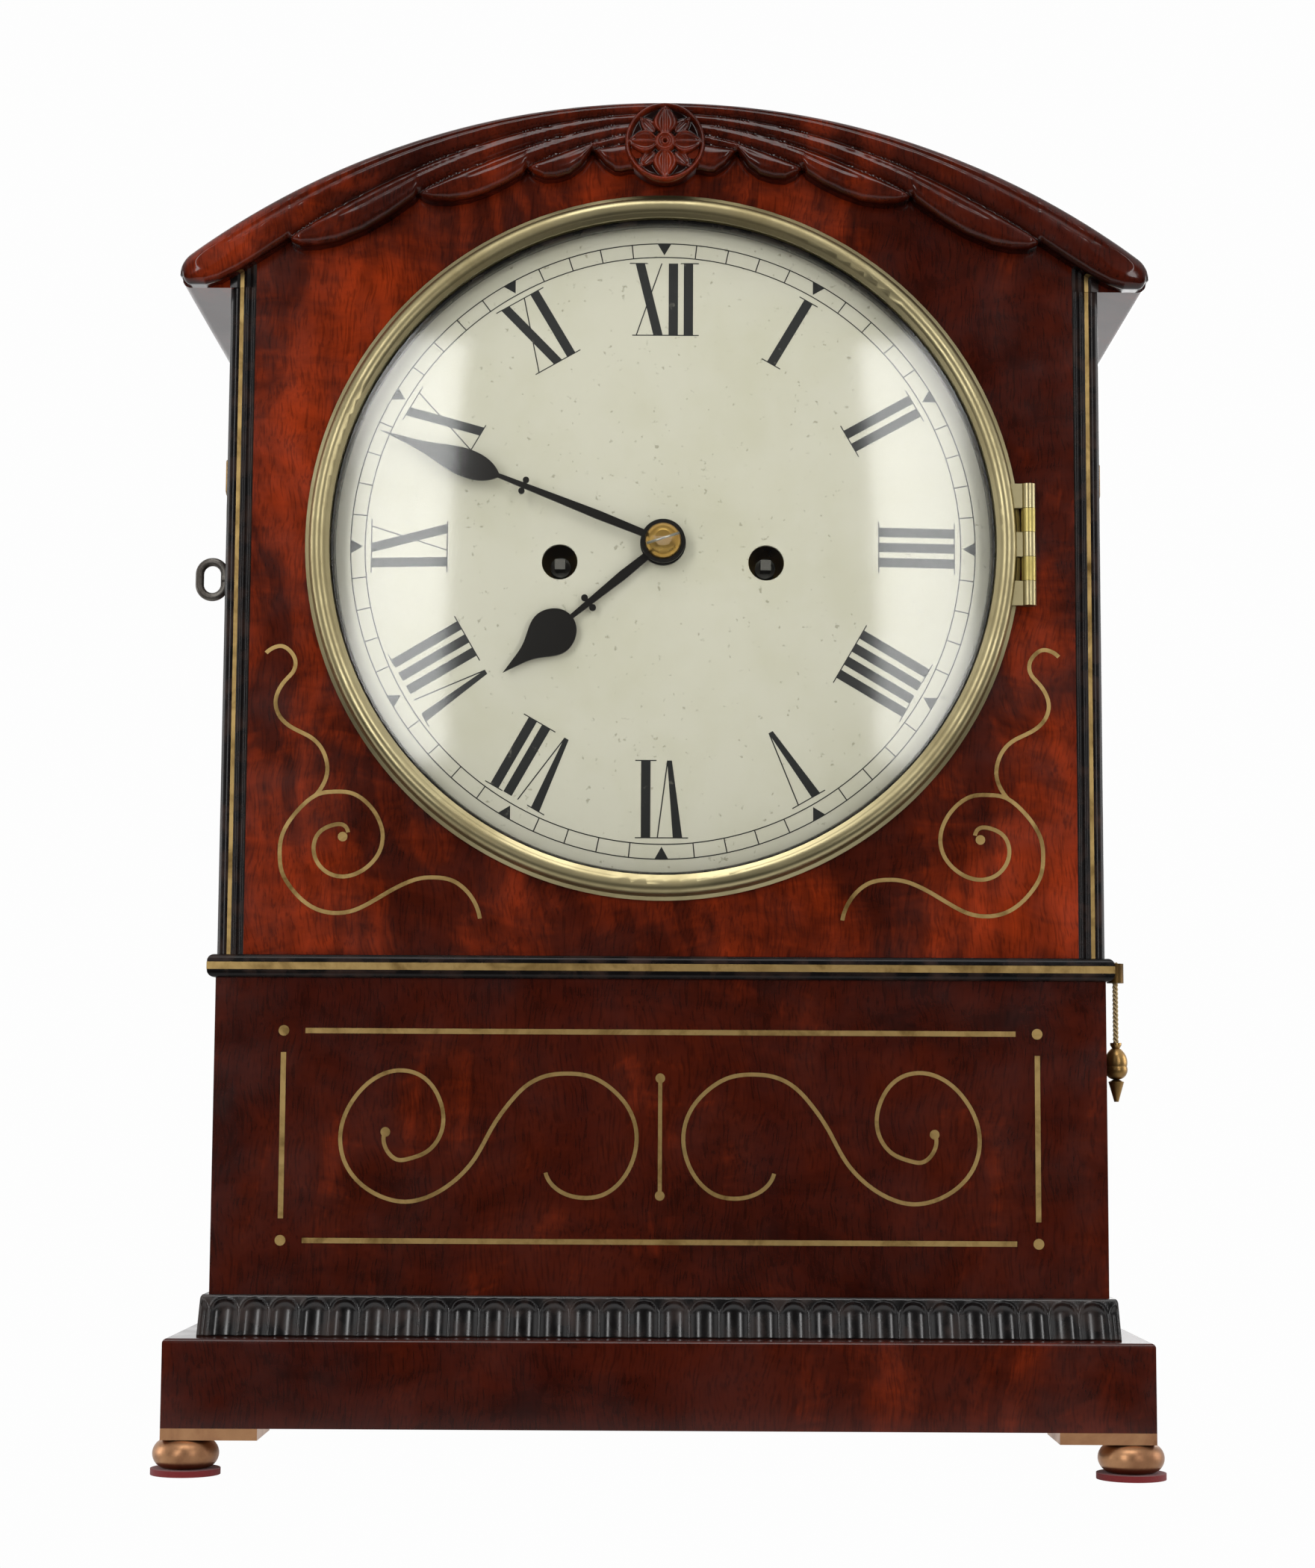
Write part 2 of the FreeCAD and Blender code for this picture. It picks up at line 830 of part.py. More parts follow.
right_corner = reeded_corner()
right_string = corner_string()
node("corner_mouldings", together(mirrored(right_corner), right_corner))
node("case_stringing", together(mirrored(right_string), right_string, waist_brass))


def make_roof():
    reach = half_case + s.eaves_overhang
    length = s.case_depth
    inner = s.roof_radius - s.roof_thickness
    shell = common(
        rod(s.roof_radius, length, 0, face, roof_centre, "Y"),
        block(-reach, reach, face - 1, back + 1, eaves, crown + 1),
    )
    hollow = common(
        rod(inner, length + 2, 0, face - 1, roof_centre, "Y"),
        block(-side_inner, side_inner, face - 2, back + 2, eaves - 1, crown + 1),
    )
    roof = cut(shell, hollow)
    doc.recompute()
    rounded = doc.addObject("Part::Fillet", "Rounded")
    rounded.Base = roof
    edges = []
    for number, edge in enumerate(roof.Shape.Edges, start=1):
        middle = edge.BoundBox.Center
        if near(abs(middle.x), reach.value) and near(edge.BoundBox.YLength, length.value):
            radius = s.nose_round.value if middle.z > eaves.value + 1 else s.eaves_round.value
            edges.append((number, radius, radius))
    rounded.Edges = edges
    return rounded


node("roof_shell", make_roof())

# The carved board's lower edge, from the left tip to the middle: where each petal ends, as shares of
# the half width out from the middle and of the crown's rise above the eaves.
PETALS = [
    ((0.777, 0.270), (0.742, 0.226)),
    ((0.512, 0.494), (0.470, 0.452)),
    ((0.290, 0.640), (0.244, 0.586)),
    ((0.146, 0.742), (0.100, 0.628)),
]


def make_pediment():
    reach = (half_case + s.eaves_overhang).value
    rise = s.crown_rise.value
    radius = s.roof_radius.value
    low = eaves.value
    nose = s.eaves_round.value
    tip = s.nose_round.value
    tip_x = reach - tip
    tip_rise = math.sqrt((radius - tip) ** 2 - tip_x**2)
    tip_z = roof_centre.value + tip_rise
    spread = radius / (radius - tip)
    half_turn = math.atan2(tip_rise, tip_x) / 2
    front = (face - s.pediment_thickness).value

    def at(x, z):
        return Vector(x, front, z)

    def half_edge(side):
        """From the tip's underside to the rosette, petal by petal."""
        edges = []
        start = at(side * (reach - nose), low)
        for (tip_out, tip_up), (belly_out, belly_up) in PETALS:
            tip = at(side * tip_out * reach, low + tip_up * rise)
            bow = (start + tip) * 0.5 + Vector(side * 1.2, 0, -1.6)
            edges.append(Part.Arc(start, bow, tip).toShape())
            belly = at(side * belly_out * reach, low + belly_up * rise)
            edges.append(Part.LineSegment(tip, belly).toShape())
            start = belly
        return edges, start

    left_edges, left_end = half_edge(-1)
    right_edges, right_end = half_edge(1)
    edges = left_edges + [Part.LineSegment(left_end, right_end).toShape()] + right_edges
    joins = []
    for side in (-1, 1):
        joins.append(at(side * tip_x * spread, roof_centre.value + tip_rise * spread))
        bend = at(side * (tip_x + tip * math.cos(half_turn)), tip_z + tip * math.sin(half_turn))
        edges += [
            Part.Arc(
                at(side * (reach - nose), low),
                at(side * (reach - nose * 0.29), low + nose * 0.29),
                at(side * reach, low + nose),
            ).toShape(),
            Part.LineSegment(at(side * reach, low + nose), at(side * reach, tip_z)).toShape(),
            Part.Arc(at(side * reach, tip_z), bend, joins[-1]).toShape(),
        ]
    crest = Part.Arc(joins[0], at(0, crown.value), joins[1]).toShape()
    wire = Part.Wire(Part.__sortEdges__(edges + [crest]))
    board = Part.Face(wire).extrude(Vector(0, s.pediment_thickness.value, 0))
    return formed(board)


rosette_z = crown - s.rosette_radius - 0.5
rosette_depth = s.pediment_thickness + s.rosette_proud
rosette = rod(s.rosette_radius, rosette_depth, 0, face - rosette_depth, rosette_z, "Y")
node("pediment", fuse(make_pediment(), rosette))

# Positions shared by the hinge, the lock and the panel.
hinge_x = s.bezel_radius + s.hinge_offset
hinge_y = face - s.hinge_radius - s.bezel_gap
knuckle = s.hinge_length / 5
tab_half = 0.6
catch_inner = s.bezel_radius - 5.0
catch_outer = s.bezel_radius - 3.0
catch_low = key_z - 4.5
catch_high = key_z + 9.0


def hinge_tab(index):
    low = dial_z - s.hinge_length / 2 + knuckle * index
    return block(
        hinge_x - tab_half, hinge_x + tab_half, hinge_y, face + s.front_thickness * 0.6, low + 0.1,
        low + knuckle - 0.1
    )


tabs = [hinge_tab(1), hinge_tab(3)]
catch_slot = block(
    -catch_outer - 1.3, 0 - s.sight_radius, face - 1, face + s.front_thickness + 1, catch_low - 0.6,
    catch_high + 0.6
)
panel = slab(
    arched(front_half, waist_top), face, face + s.front_thickness, [(0, dial_z, s.panel_hole_radius)]
)
node("case_front_panel", cut(panel, panel_scrolls, *tabs, catch_slot))


# ---- back and its door -------------------------------------------------------------------------

door_half = s.door_width / 2
door_low = waist_top + s.door_rise
door_high = door_low + s.door_height
door_front = back - s.board
door_round = s.board / 2 - 0.1
door_hinge_x = door_half - s.door_gap - door_round
door_hinge_y = back - s.board / 2
button_x = door_half + s.door_stile / 2
button_z = (door_low + door_high) / 2


def door_pin(z):
    return rod(s.door_pin_radius, s.door_pin_reach * 2, door_hinge_x, door_hinge_y, z - s.door_pin_reach)


pins = together(door_pin(door_low), door_pin(door_high))
button_bore = rod(
    s.door_pin_radius + s.running_gap, s.board + 2, -button_x, door_front - 1, button_z, "Y"
)
back_board = slab(
    arched(side_inner, waist_top), door_front, back,
    inner=[rectangle(-door_half, door_half, door_low, door_high)],
)
node("case_back_frame", cut(back_board, pins, button_bore))
node("back_door_pins", pins)


def make_door():
    gap = s.door_gap
    stile = s.door_stile
    left, right = gap - door_half, door_half - gap
    low, high = door_low + gap, door_high - gap
    body = padded(
        rectangle(left, right, door_front, back),
        high - low,
    )
    place(body, 0, 0, low)

    def hinge_edge(edge):
        box = edge.BoundBox
        return near(box.Center.x, right.value) and near(box.ZLength, (high - low).value)

    soften(body, door_round, hinge_edge)
    opening = block(left + stile, right - stile, door_front - 1, back + 1, low + stile, high - stile)
    lip = s.board / 2
    pane = block(
        left + stile - lip, right - stile + lip, door_front, door_front + s.door_glass_thickness,
        low + stile - lip, high - stile + lip
    )
    bores = [
        rod(s.door_pin_radius + s.running_gap, s.door_pin_reach + 0.5, door_hinge_x, door_hinge_y, z)
        for z in (low - 0.5, high - s.door_pin_reach)
    ]
    return cut(body, opening, pane, *bores), pane


door_frame, door_pane = make_door()
node("back_door_frame", door_frame)
node("back_door_glass", door_pane)
node("back_door_button", together(
    rod(s.door_pin_radius, s.board, -button_x, door_front + 0.1, button_z, "Y"),
    fuse(
        block(-button_x - 3.5, 3.5 - button_x, back + 0.1, back + 2.1, button_z - 11, button_z + 11),
        rod(2.6, 1.0, -button_x, back + 2.1, button_z, "Y"),
    ),
))


# ---- side fittings -----------------------------------------------------------------------------

handle_y = face + s.handle_depth
boss_z = eaves - s.boss_drop
ring_pivot_z = eaves - s.ring_drop
ring_x = half_case + s.ring_standoff


def handle_boss():
    """A domed mask boss with the muzzle that holds the ring."""
    dome = turned(
        [
            (0, 0), (s.boss_radius, 0), (s.boss_radius, s.boss_height * 0.3, s.boss_radius * 1.2),
            (s.boss_radius * 0.4, s.boss_height), (0, s.boss_height),
        ],
        half_case, handle_y, boss_z, "X",
    )
    half = s.ring_wire * 1.8
    muzzle = common(
        rod(s.muzzle_radius, s.muzzle_reach, half_case, handle_y, ring_pivot_z, "X"),
        block(half_case, half_case + s.muzzle_reach + 1, handle_y - half, handle_y + half,
              ring_pivot_z - 20, ring_pivot_z + 20),
    )
    bore = rod(s.ring_wire + 0.65, half * 2 + 2, ring_x, handle_y - half - 1, ring_pivot_z, "Y")
    return cut(fuse(dome, muzzle), bore)


def handle_ring(side):
    ring = doc.addObject("Part::Torus", "Ring")
    bind(ring, "Radius1", s.ring_radius)
    bind(ring, "Radius2", s.ring_wire)
    return place(ring, ring_x * side, handle_y, ring_pivot_z - s.ring_radius, TO_RIGHT)


boss = handle_boss()
node("handle_bosses", together(mirrored(boss), boss))
node("handle_ring_left", handle_ring(-1))
node("handle_ring_right", handle_ring(1))

lock_outer = side_inner
lock_inner = catch_outer + 3.3
lock_front = face + s.front_thickness
bolt_half = 2.0
bolt_thickness = 2.4
bolt_front = lock_front + 1.8
bolt_tip = catch_outer + 1.8
bolt_back = lock_outer - 4.0


def make_key():
    """An oval bow on a shank that runs through the side board into the lock."""
    wire = s.key_bow_wire.value
    wide = s.key_bow_half_width.value - wire
    straight = s.key_bow_half_height.value - s.key_bow_half_width.value
    bow = Part.makeTorus(wide, wire, Vector(0, straight, 0), Vector(0, 0, 1), 0, 360, 180)
    lower = bow.copy()
    lower.rotate(Vector(0, 0, 0), Vector(0, 0, 1), 180)
    rails = [
        Part.makeCylinder(wire, straight * 2, Vector(x, -straight, 0), Vector(0, 1, 0))
        for x in (-wide, wide)
    ]
    bow = bow.fuse([lower] + rails)
    bow_x = -half_case - 0.4 - s.key_bow_half_width
    shank_start = -half_case - 0.4 - s.key_bow_wire * 1.6
    shank = rod(s.key_shank_radius, half_case + 2.5 - lock_inner - 6, shank_start, key_y, key_z, "X")
    collar = rod(s.key_shank_radius + 0.5, 1.2, -half_case - 1.4, key_y, key_z, "X")
    return fuse(formed(bow, bow_x, key_y, key_z, FACING), shank, collar)


node("key", make_key())
lock_block = block(-lock_outer, -lock_inner, lock_front, lock_front + 8, key_z - 11, key_z + 11)
bolt_channel = block(
    -bolt_back - 0.2, 1 - lock_inner, bolt_front - 0.1, bolt_front + bolt_thickness + 0.1,
    key_z + 4.5 - bolt_half - 0.1, key_z + 4.5 + bolt_half + 0.1
)
key_bore = rod(
    s.key_shank_radius + s.running_gap, lock_outer - lock_inner - 2, -lock_outer - 1, key_y, key_z, "X"
)
node("lock_body", cut(lock_block, bolt_channel, key_bore))
node("lock_bolt", block(
    -bolt_back, -bolt_tip, bolt_front, bolt_front + bolt_thickness, key_z + 4.5 - bolt_half,
    key_z + 4.5 + bolt_half
))

guide_eye = cut(
    fuse(rod(s.guide_radius, s.guide_length, cord_x, cord_y, guide_low), guide_stem),
    rod(s.cord_radius + 0.3, s.guide_length + 2, cord_x, cord_y, guide_low - 1),
)
node("cord_guide", guide_eye)
cord_top = guide_low + s.guide_length
cord_bottom = cord_top - s.cord_length
node("repeat_cord", rod(s.cord_radius, s.cord_length, cord_x, cord_y, cord_bottom))

pull_top = cord_bottom + s.pull_length * 0.42
reach_down = s.pull_length
wide = s.pull_radius
pull_bore = s.cord_radius + s.running_gap
node("repeat_pull", turned(
    [
        (0, -reach_down), (wide * 0.2, -reach_down), (wide * 0.72, reach_down * -0.66),
        (wide * 0.27, reach_down * -0.62, wide * 0.9), (wide, reach_down * -0.4, wide * 1.6),
        (wide * 0.36, reach_down * -0.09), (wide * 0.52, reach_down * -0.04), (wide * 0.52, 0),
        (pull_bore, 0), (pull_bore, cord_bottom - pull_top), (0, cord_bottom - pull_top),
    ],
    cord_x, cord_y, pull_top,
))


# ---- bezel and glass ---------------------------------------------------------------------------

def make_bezel():
    sight = s.sight_radius
    outer = s.bezel_radius
    gap = s.bezel_gap
    ring = turned(
        [
            (sight, 2.5), (sight + 1.2, 2.5), (sight + 1.2, -gap), (outer, -gap),
            (outer, -1.8), (outer - 1.1, -2.5), (outer - 1.4, -3.1, -3.0),
            (sight + 1.1, -5.2), (sight, -4.6), (sight, -3.3),
            (s.glass_edge_radius, -3.3), (s.glass_edge_radius, s.glass_thickness - 3.3),
            (sight, s.glass_thickness - 3.3),
        ],
        0, face, dial_z, "Y",
    )
    parts = [ring]
    for index in (0, 2, 4):
        low = dial_z - s.hinge_length / 2 + knuckle * index
        parts.append(rod(s.hinge_radius, knuckle, hinge_x, hinge_y, low))
        parts.append(block(
            hinge_x - 5.5, hinge_x, hinge_y - 1.0, hinge_y + 1.0, low, low + knuckle
        ))
    catch = cut(
        block(-catch_outer, -catch_inner, face - 1.5, lock_front + 6, catch_low, catch_high),
        block(
            -catch_outer - 1, 1 - catch_inner, bolt_front - 0.6, bolt_front + bolt_thickness + 0.6,
            key_z + 4.5 - bolt_half - 0.6, key_z + 4.5 + bolt_half + 0.6
        ),
    )
    parts.append(catch)
    low = dial_z - s.hinge_length / 2 - 1
    bore = rod(s.hinge_pin_radius + s.running_gap, s.hinge_length + 2, hinge_x, hinge_y, low)
    return cut(fuse(*parts), bore)


def make_hinge():
    parts = []
    for index, tab in zip((1, 3), tabs):
        low = dial_z - s.hinge_length / 2 + knuckle * index
        parts.append(rod(s.hinge_radius, knuckle - 0.2, hinge_x, hinge_y, low + 0.1))
        parts.append(tab)
    pin = rod(s.hinge_pin_radius, s.hinge_length, hinge_x, hinge_y, dial_z - s.hinge_length / 2)
    return fuse(pin, *parts)


def dome_radius(half_chord, rise):
    return (half_chord * half_chord + rise * rise) / (rise * 2)


def make_glass():
    sight = s.sight_radius
    rise = s.glass_rise
    outer_bend = dome_radius(sight, rise)
    inner_bend = outer_bend - s.glass_thickness
    inner_half = root(inner_bend * inner_bend - (inner_bend - rise) * (inner_bend - rise))
    return turned(
        [
            (0, -3.3 - rise, outer_bend), (sight, -3.3), (s.glass_edge_radius, -3.3),
            (s.glass_edge_radius, s.glass_thickness - 3.3),
            (inner_half, s.glass_thickness - 3.3, -inner_bend), (0, s.glass_thickness - 3.3 - rise),
        ],
        0, face, dial_z, "Y",
    )


node("bezel", make_bezel())
node("bezel_hinge", make_hinge())
node("bezel_glass", make_glass())


# ---- dial and hands ----------------------------------------------------------------------------

fusee_z = dial_z - s.winding_drop
plate_front = face + s.plate_setback
plate_inner = plate_front + s.plate_thickness
plates_back = plate_inner + s.plate_spacing
plate_outer = plates_back + s.plate_thickness
seat_top = waist_top + s.seatboard_thickness
plate_top = seat_top + s.plate_height


def dial_dome():
    bend = dome_radius(s.dial_radius, s.dial_rise)
    edge = s.dial_setback
    crest = edge - s.dial_rise
    return turned(
        [
            (0, crest, bend), (s.dial_radius, edge), (s.dial_radius, edge + s.dial_thickness, -bend),
            (0, crest + s.dial_thickness),
        ],
        0, face, dial_z, "Y",
    )


def make_dial():
    holes = [
        rod(s.winding_hole_radius, 20, s.winding_offset * side, face - 5, fusee_z, "Y")
        for side in (-1, 1)
    ]
    holes.append(rod(s.dial_centre_hole, 20, 0, face - 5, dial_z, "Y"))
    feet = []
    for x, z in ((-0.48, 0.5), (0.48, 0.5), (0, -0.78)):
        sag = s.dial_rise * (x * x + z * z)
        start = face + s.dial_setback - s.dial_rise + sag + s.dial_thickness / 2
        across, up = s.dial_radius * x, dial_z + s.dial_radius * z
        feet.append(rod(2.2, plate_front - start, across, start, up, "Y"))
    return fuse(cut(dial_dome(), *holes), *feet)


node("dial_plate", make_dial())

hour_front = face - 3.3
minute_front = face - 6.4
collet_front = face - 11.0


def hand(length, hub_radius, bore, stem, pear_share, pear_half, collar_share):
    """A pear hand pointing up from its hub, bent to follow the dial's dome."""
    along = length.value
    hub = hub_radius.value
    base = along * (1 - pear_share)
    widest = base + along * pear_share * 0.3
    neck = stem * 0.5
    right = [
        Vector(stem * 0.8, hub * 0.8, 0),
        Vector(stem, hub + (base - hub) * 0.3, 0),
        Vector(neck, base, 0),
    ]
    side = Part.BSplineCurve()
    side.interpolate([
        right[2],
        Vector(pear_half * 0.72, base + (widest - base) * 0.3, 0),
        Vector(pear_half, widest, 0),
        Vector(pear_half * 0.42, widest + (along - widest) * 0.45, 0),
        Vector(pear_half * 0.13, widest + (along - widest) * 0.8, 0),
        Vector(0, along, 0),
    ])
    edges = [
        Part.LineSegment(right[0], right[1]).toShape(),
        Part.LineSegment(right[1], right[2]).toShape(),
        side.toShape(),
    ]
    edges += [edge.mirror(Vector(0, 0, 0), Vector(1, 0, 0)) for edge in edges]
    edges.append(Part.LineSegment(Vector(-stem * 0.8, hub * 0.8, 0), right[0]).toShape())
    blade = Part.Face(Part.Wire(Part.__sortEdges__(edges)))
    thickness = s.hand_thickness.value
    deep = s.dial_rise.value * 1.5
    down = Vector(0, 0, thickness - deep)
    collar = along * collar_share
    bar = Part.makeBox(stem * 2.7, stem * 0.8, deep, Vector(-stem * 1.35, collar - stem * 0.4, down.z))
    knobs = [
        Part.makeCylinder(stem * 0.72, deep, down + Vector(out, collar, 0))
        for out in (-stem * 1.35, stem * 1.35)
    ]
    blade.translate(down)
    solid = blade.extrude(Vector(0, 0, deep)).fuse([bar, Part.makeCylinder(hub, deep, down)] + knobs)
    solid = solid.cut(Part.makeCylinder(bore, deep, down))
    outer = dome_radius(s.dial_radius, s.dial_rise).value
    shell = Part.makeSphere(outer, Vector(0, 0, thickness - outer))
    shell = shell.cut(Part.makeSphere(outer - thickness, Vector(0, 0, thickness - outer)))
    return solid.common(shell)


def place_hand(shape, front, angle):
    turn = Rotation(Vector(1, 0, 0), 90).multiply(Rotation(Vector(0, 0, 1), -angle.value))
    return formed(shape, 0, front + s.hand_thickness, dial_z, turn)


cannon_outer = s.arbor_radius + 1.0
hour_pipe_inner = cannon_outer + s.running_gap
hour_pipe_outer = hour_pipe_inner + 1.1
node("hour_hand", place_hand(
    hand(s.hour_length, s.hour_hub_radius, hour_pipe_outer.value, 1.45, 0.43, 7.2, 0.465),
    hour_front, s.hour_angle,
))
node("minute_hand", place_hand(
    hand(s.minute_length, s.minute_hub_radius, cannon_outer.value, 1.35, 0.42, 4.3, 0.49),
    minute_front, s.minute_angle,
))
collet_depth = minute_front - collet_front
centre_tip = collet_front + 1.6
collet_wall = centre_tip - collet_front - 0.3
arbor_bore = s.arbor_radius + s.running_gap
node("hand_collet", turned(
    [
        (0, 0), (s.collet_radius * 0.45, 0, s.collet_radius * 1.1), (s.collet_radius, collet_depth),
        (arbor_bore, collet_depth), (arbor_bore, collet_wall), (0, collet_wall),
    ],
    0, collet_front, dial_z, "Y",
))


# ---- toothed wheels ----------------------------------------------------------------------------

def spot(x, z):
    return (size(x), size(z))


CENTRE = spot(0, dial_z)
THIRD = spot(s.third_offset, dial_z + s.third_rise)
ESCAPE = spot(0, dial_z + s.escape_rise)
PALLET = spot(0, dial_z + s.pallet_rise)
GOING = spot(s.winding_offset, fusee_z)
STRIKE = spot(-s.winding_offset, fusee_z)
PIN = spot(-s.pin_wheel_offset, dial_z + s.pin_wheel_rise)
FLY = spot(-s.fly_offset, dial_z + s.fly_rise)
MINUTE = spot(s.minute_wheel_offset, dial_z - s.minute_wheel_drop)
GOING_BARREL = spot(s.barrel_offset, dial_z - s.barrel_drop)
STRIKE_BARREL = spot(-s.barrel_offset, dial_z - s.barrel_drop)
HAMMER = spot(-s.hammer_offset, dial_z + s.hammer_rise)


def bearing(first, second):
    return math.atan2(second[1].value - first[1].value, second[0].value - first[0].value)


def module_between(first, second, teeth, leaves):
    """The tooth module that makes two wheels on these arbors mesh."""
    distance = math.hypot(second[0].value - first[0].value, second[1].value - first[1].value)
    return 2 * distance / (teeth + leaves)


def toothed(at, teeth, pitch_radius, module, front, thickness, phase, bore=0.0, spokes=0):
    """A wheel in the plane of the plates, with a tooth centred at the phase angle."""
    tip = pitch_radius + 0.6 * module
    foot = pitch_radius - 0.95 * module
    step = 2 * math.pi / teeth
    x, z = at[0].value, at[1].value
    y = front.value

    def point(radius, angle):
        return Vector(x + radius * math.cos(angle), y, z + radius * math.sin(angle))

    rim = []
    for tooth in range(teeth):
        middle = phase + tooth * step
        rim += [
            point(foot, middle - 0.27 * step), point(tip, middle - 0.09 * step),
            point(tip, middle + 0.09 * step), point(foot, middle + 0.27 * step),
        ]
    wires = [ring_wire(rim)]
    if bore:
        wires.append(Part.Wire(Part.Circle(Vector(x, y, z), Vector(0, 1, 0), bore).toShape()))
    web_out, web_in = foot * 0.88, max(foot * 0.28, bore + 1.5)
    for spoke in range(spokes):
        first = phase + 2 * math.pi * spoke / spokes
        last = first + 2 * math.pi / spokes
        slim = [1.2 / web_in, 1.2 / web_out]
        inner = [first + slim[0], (first + last) / 2, last - slim[0]]
        outer = [first + slim[1], (first + last) / 2, last - slim[1]]
        edges = [
            Part.Arc(*[point(web_in, angle) for angle in inner]).toShape(),
            Part.LineSegment(point(web_in, inner[2]), point(web_out, outer[2])).toShape(),
            Part.Arc(*[point(web_out, angle) for angle in reversed(outer)]).toShape(),
            Part.LineSegment(point(web_out, outer[0]), point(web_in, inner[0])).toShape(),
        ]
        wires.append(Part.Wire(edges))
    disc = Part.Face(wires, "Part::FaceMakerBullseye")
    return disc.extrude(Vector(0, thickness.value, 0))


def meshing_pair(driver, driven, teeth, leaves):
    """Module and phases of a wheel and the pinion it drives, with a tooth in a gap between them."""
    module = module_between(driver, driven, teeth, leaves)
    line = bearing(driver, driven)
    return module, line, line + math.pi + math.pi / leaves


def wheel(at, teeth, module, front, phase, spokes=5, thickness=None, bore=0.0):
    thickness = s.wheel_thickness if thickness is None else size(thickness)
    return formed(toothed(at, teeth, module * teeth / 2, module, front, thickness, phase, bore, spokes))


def arbor(at, front, rear, radius=None):
    return rod(s.arbor_radius if radius is None else radius, size(rear) - front, at[0], front, at[1], "Y")


def pivots(at, rear_reach=None):
    """The thin ends that run in the two plates."""
    reach = s.plate_thickness - 0.2
    back_reach = reach if rear_reach is None else rear_reach
    return rod(
        s.pivot_radius, s.plate_spacing + reach + back_reach, at[0], plate_inner - reach, at[1], "Y"
    )


def staff(at):
    """An arbor between the plates, with its shoulders just clear of them."""
    return arbor(at, plate_inner + 0.3, plates_back - 0.3, s.staff_radius)


going_module, going_line, going_pinion_phase = meshing_pair(
    GOING, CENTRE, TEETH["great"], TEETH["centre_pinion"]
)
third_module, third_line, third_pinion_phase = meshing_pair(
    CENTRE, THIRD, TEETH["centre"], TEETH["third_pinion"]
)
escape_module, escape_line, escape_pinion_phase = meshing_pair(
    THIRD, ESCAPE, TEETH["third"], TEETH["escape_pinion"]
)
pin_module, pin_line, pin_pinion_phase = meshing_pair(STRIKE, PIN, TEETH["great"], TEETH["pin_pinion"])
fly_module, fly_line, fly_pinion_phase = meshing_pair(PIN, FLY, TEETH["pin"], TEETH["fly_pinion"])
cannon_module, cannon_line, minute_phase = meshing_pair(CENTRE, MINUTE, TEETH["cannon"], TEETH["minute"])
hour_module, hour_line, minute_pinion_phase = meshing_pair(
    CENTRE, MINUTE, TEETH["hour"], TEETH["minute_pinion"]
)

# Planes of the wheels, counted back from the front plate's inner face.
going_plane = plate_inner + 9
strike_plane = plate_inner + 17
centre_plane = plate_inner + 50
third_plane = plate_inner + 42
escape_plane = plate_inner + 34
pin_plane = plate_inner + 10
fly_plane = plate_inner + 8


def make_fusee(at, plane_y, module, phase):
    great = wheel(at, TEETH["great"], module, plane_y, phase, spokes=0, thickness=2.4)
    cone = turned(
        [
            (0, 0), (s.fusee_large_radius, 0), (s.fusee_large_radius, 2),
            (s.fusee_small_radius, s.fusee_length - 1), (s.fusee_small_radius + 1.5, s.fusee_length),
            (0, s.fusee_length),
        ],
        at[0], plane_y + 2.4, at[1], "Y",
    )
    shaft = arbor(at, plate_front - 9, plates_back - 0.3, s.winding_arbor_radius)
    tail = rod(s.pivot_radius * 2, s.plate_thickness, at[0], plates_back - 0.4, at[1], "Y")
    half = s.winding_square / 2
    square = block(
        at[0] - half, at[0] + half, face + s.dial_setback - 2, plate_front - 9 + 0.5,
        at[1] - half, at[1] + half
    )
    return fuse(great, cone, shaft, tail, square)


node("going_fusee", make_fusee(GOING, going_plane, going_module, going_line))
node("strike_fusee", make_fusee(STRIKE, strike_plane, pin_module, pin_line))

centre_pinion = wheel(
    CENTRE, TEETH["centre_pinion"], going_module, going_plane - 1.5, going_pinion_phase, 0, 5.5
)
node("centre_wheel", fuse(
    centre_pinion,
    wheel(CENTRE, TEETH["centre"], third_module, centre_plane, third_line),
    arbor(CENTRE, centre_tip, plates_back - 0.3),
    rod(s.pivot_radius, s.plate_thickness, CENTRE[0], plates_back - 0.4, CENTRE[1], "Y"),
))
node("third_wheel", fuse(
    wheel(THIRD, TEETH["third_pinion"], third_module, centre_plane - 1.5, third_pinion_phase, 0, 4.6),
    wheel(THIRD, TEETH["third"], escape_module, third_plane, escape_line),
    staff(THIRD),
    pivots(THIRD),
))
escape_step = 2 * math.pi / TEETH["escape"]
escape_tooth = s.escape_radius.value * 0.12


def make_escape_wheel():
    rim = []
    tip = s.escape_radius.value
    foot = tip - escape_tooth
    for tooth in range(TEETH["escape"]):
        start = tooth * escape_step
        for radius, angle in ((foot, 0.0), (tip, 0.42), (foot, 0.5)):
            turn = start + angle * escape_step
            x = ESCAPE[0].value + radius * math.cos(turn)
            z = ESCAPE[1].value + radius * math.sin(turn)
            rim.append(Vector(x, escape_plane.value, z))
    disc = Part.Face(ring_wire(rim)).extrude(Vector(0, s.wheel_thickness.value, 0))
    return fuse(
        formed(disc),
        wheel(
            ESCAPE, TEETH["escape_pinion"], escape_module, third_plane - 1.5, escape_pinion_phase, 0, 4.6
        ),
        staff(ESCAPE),
        pivots(ESCAPE),
    )


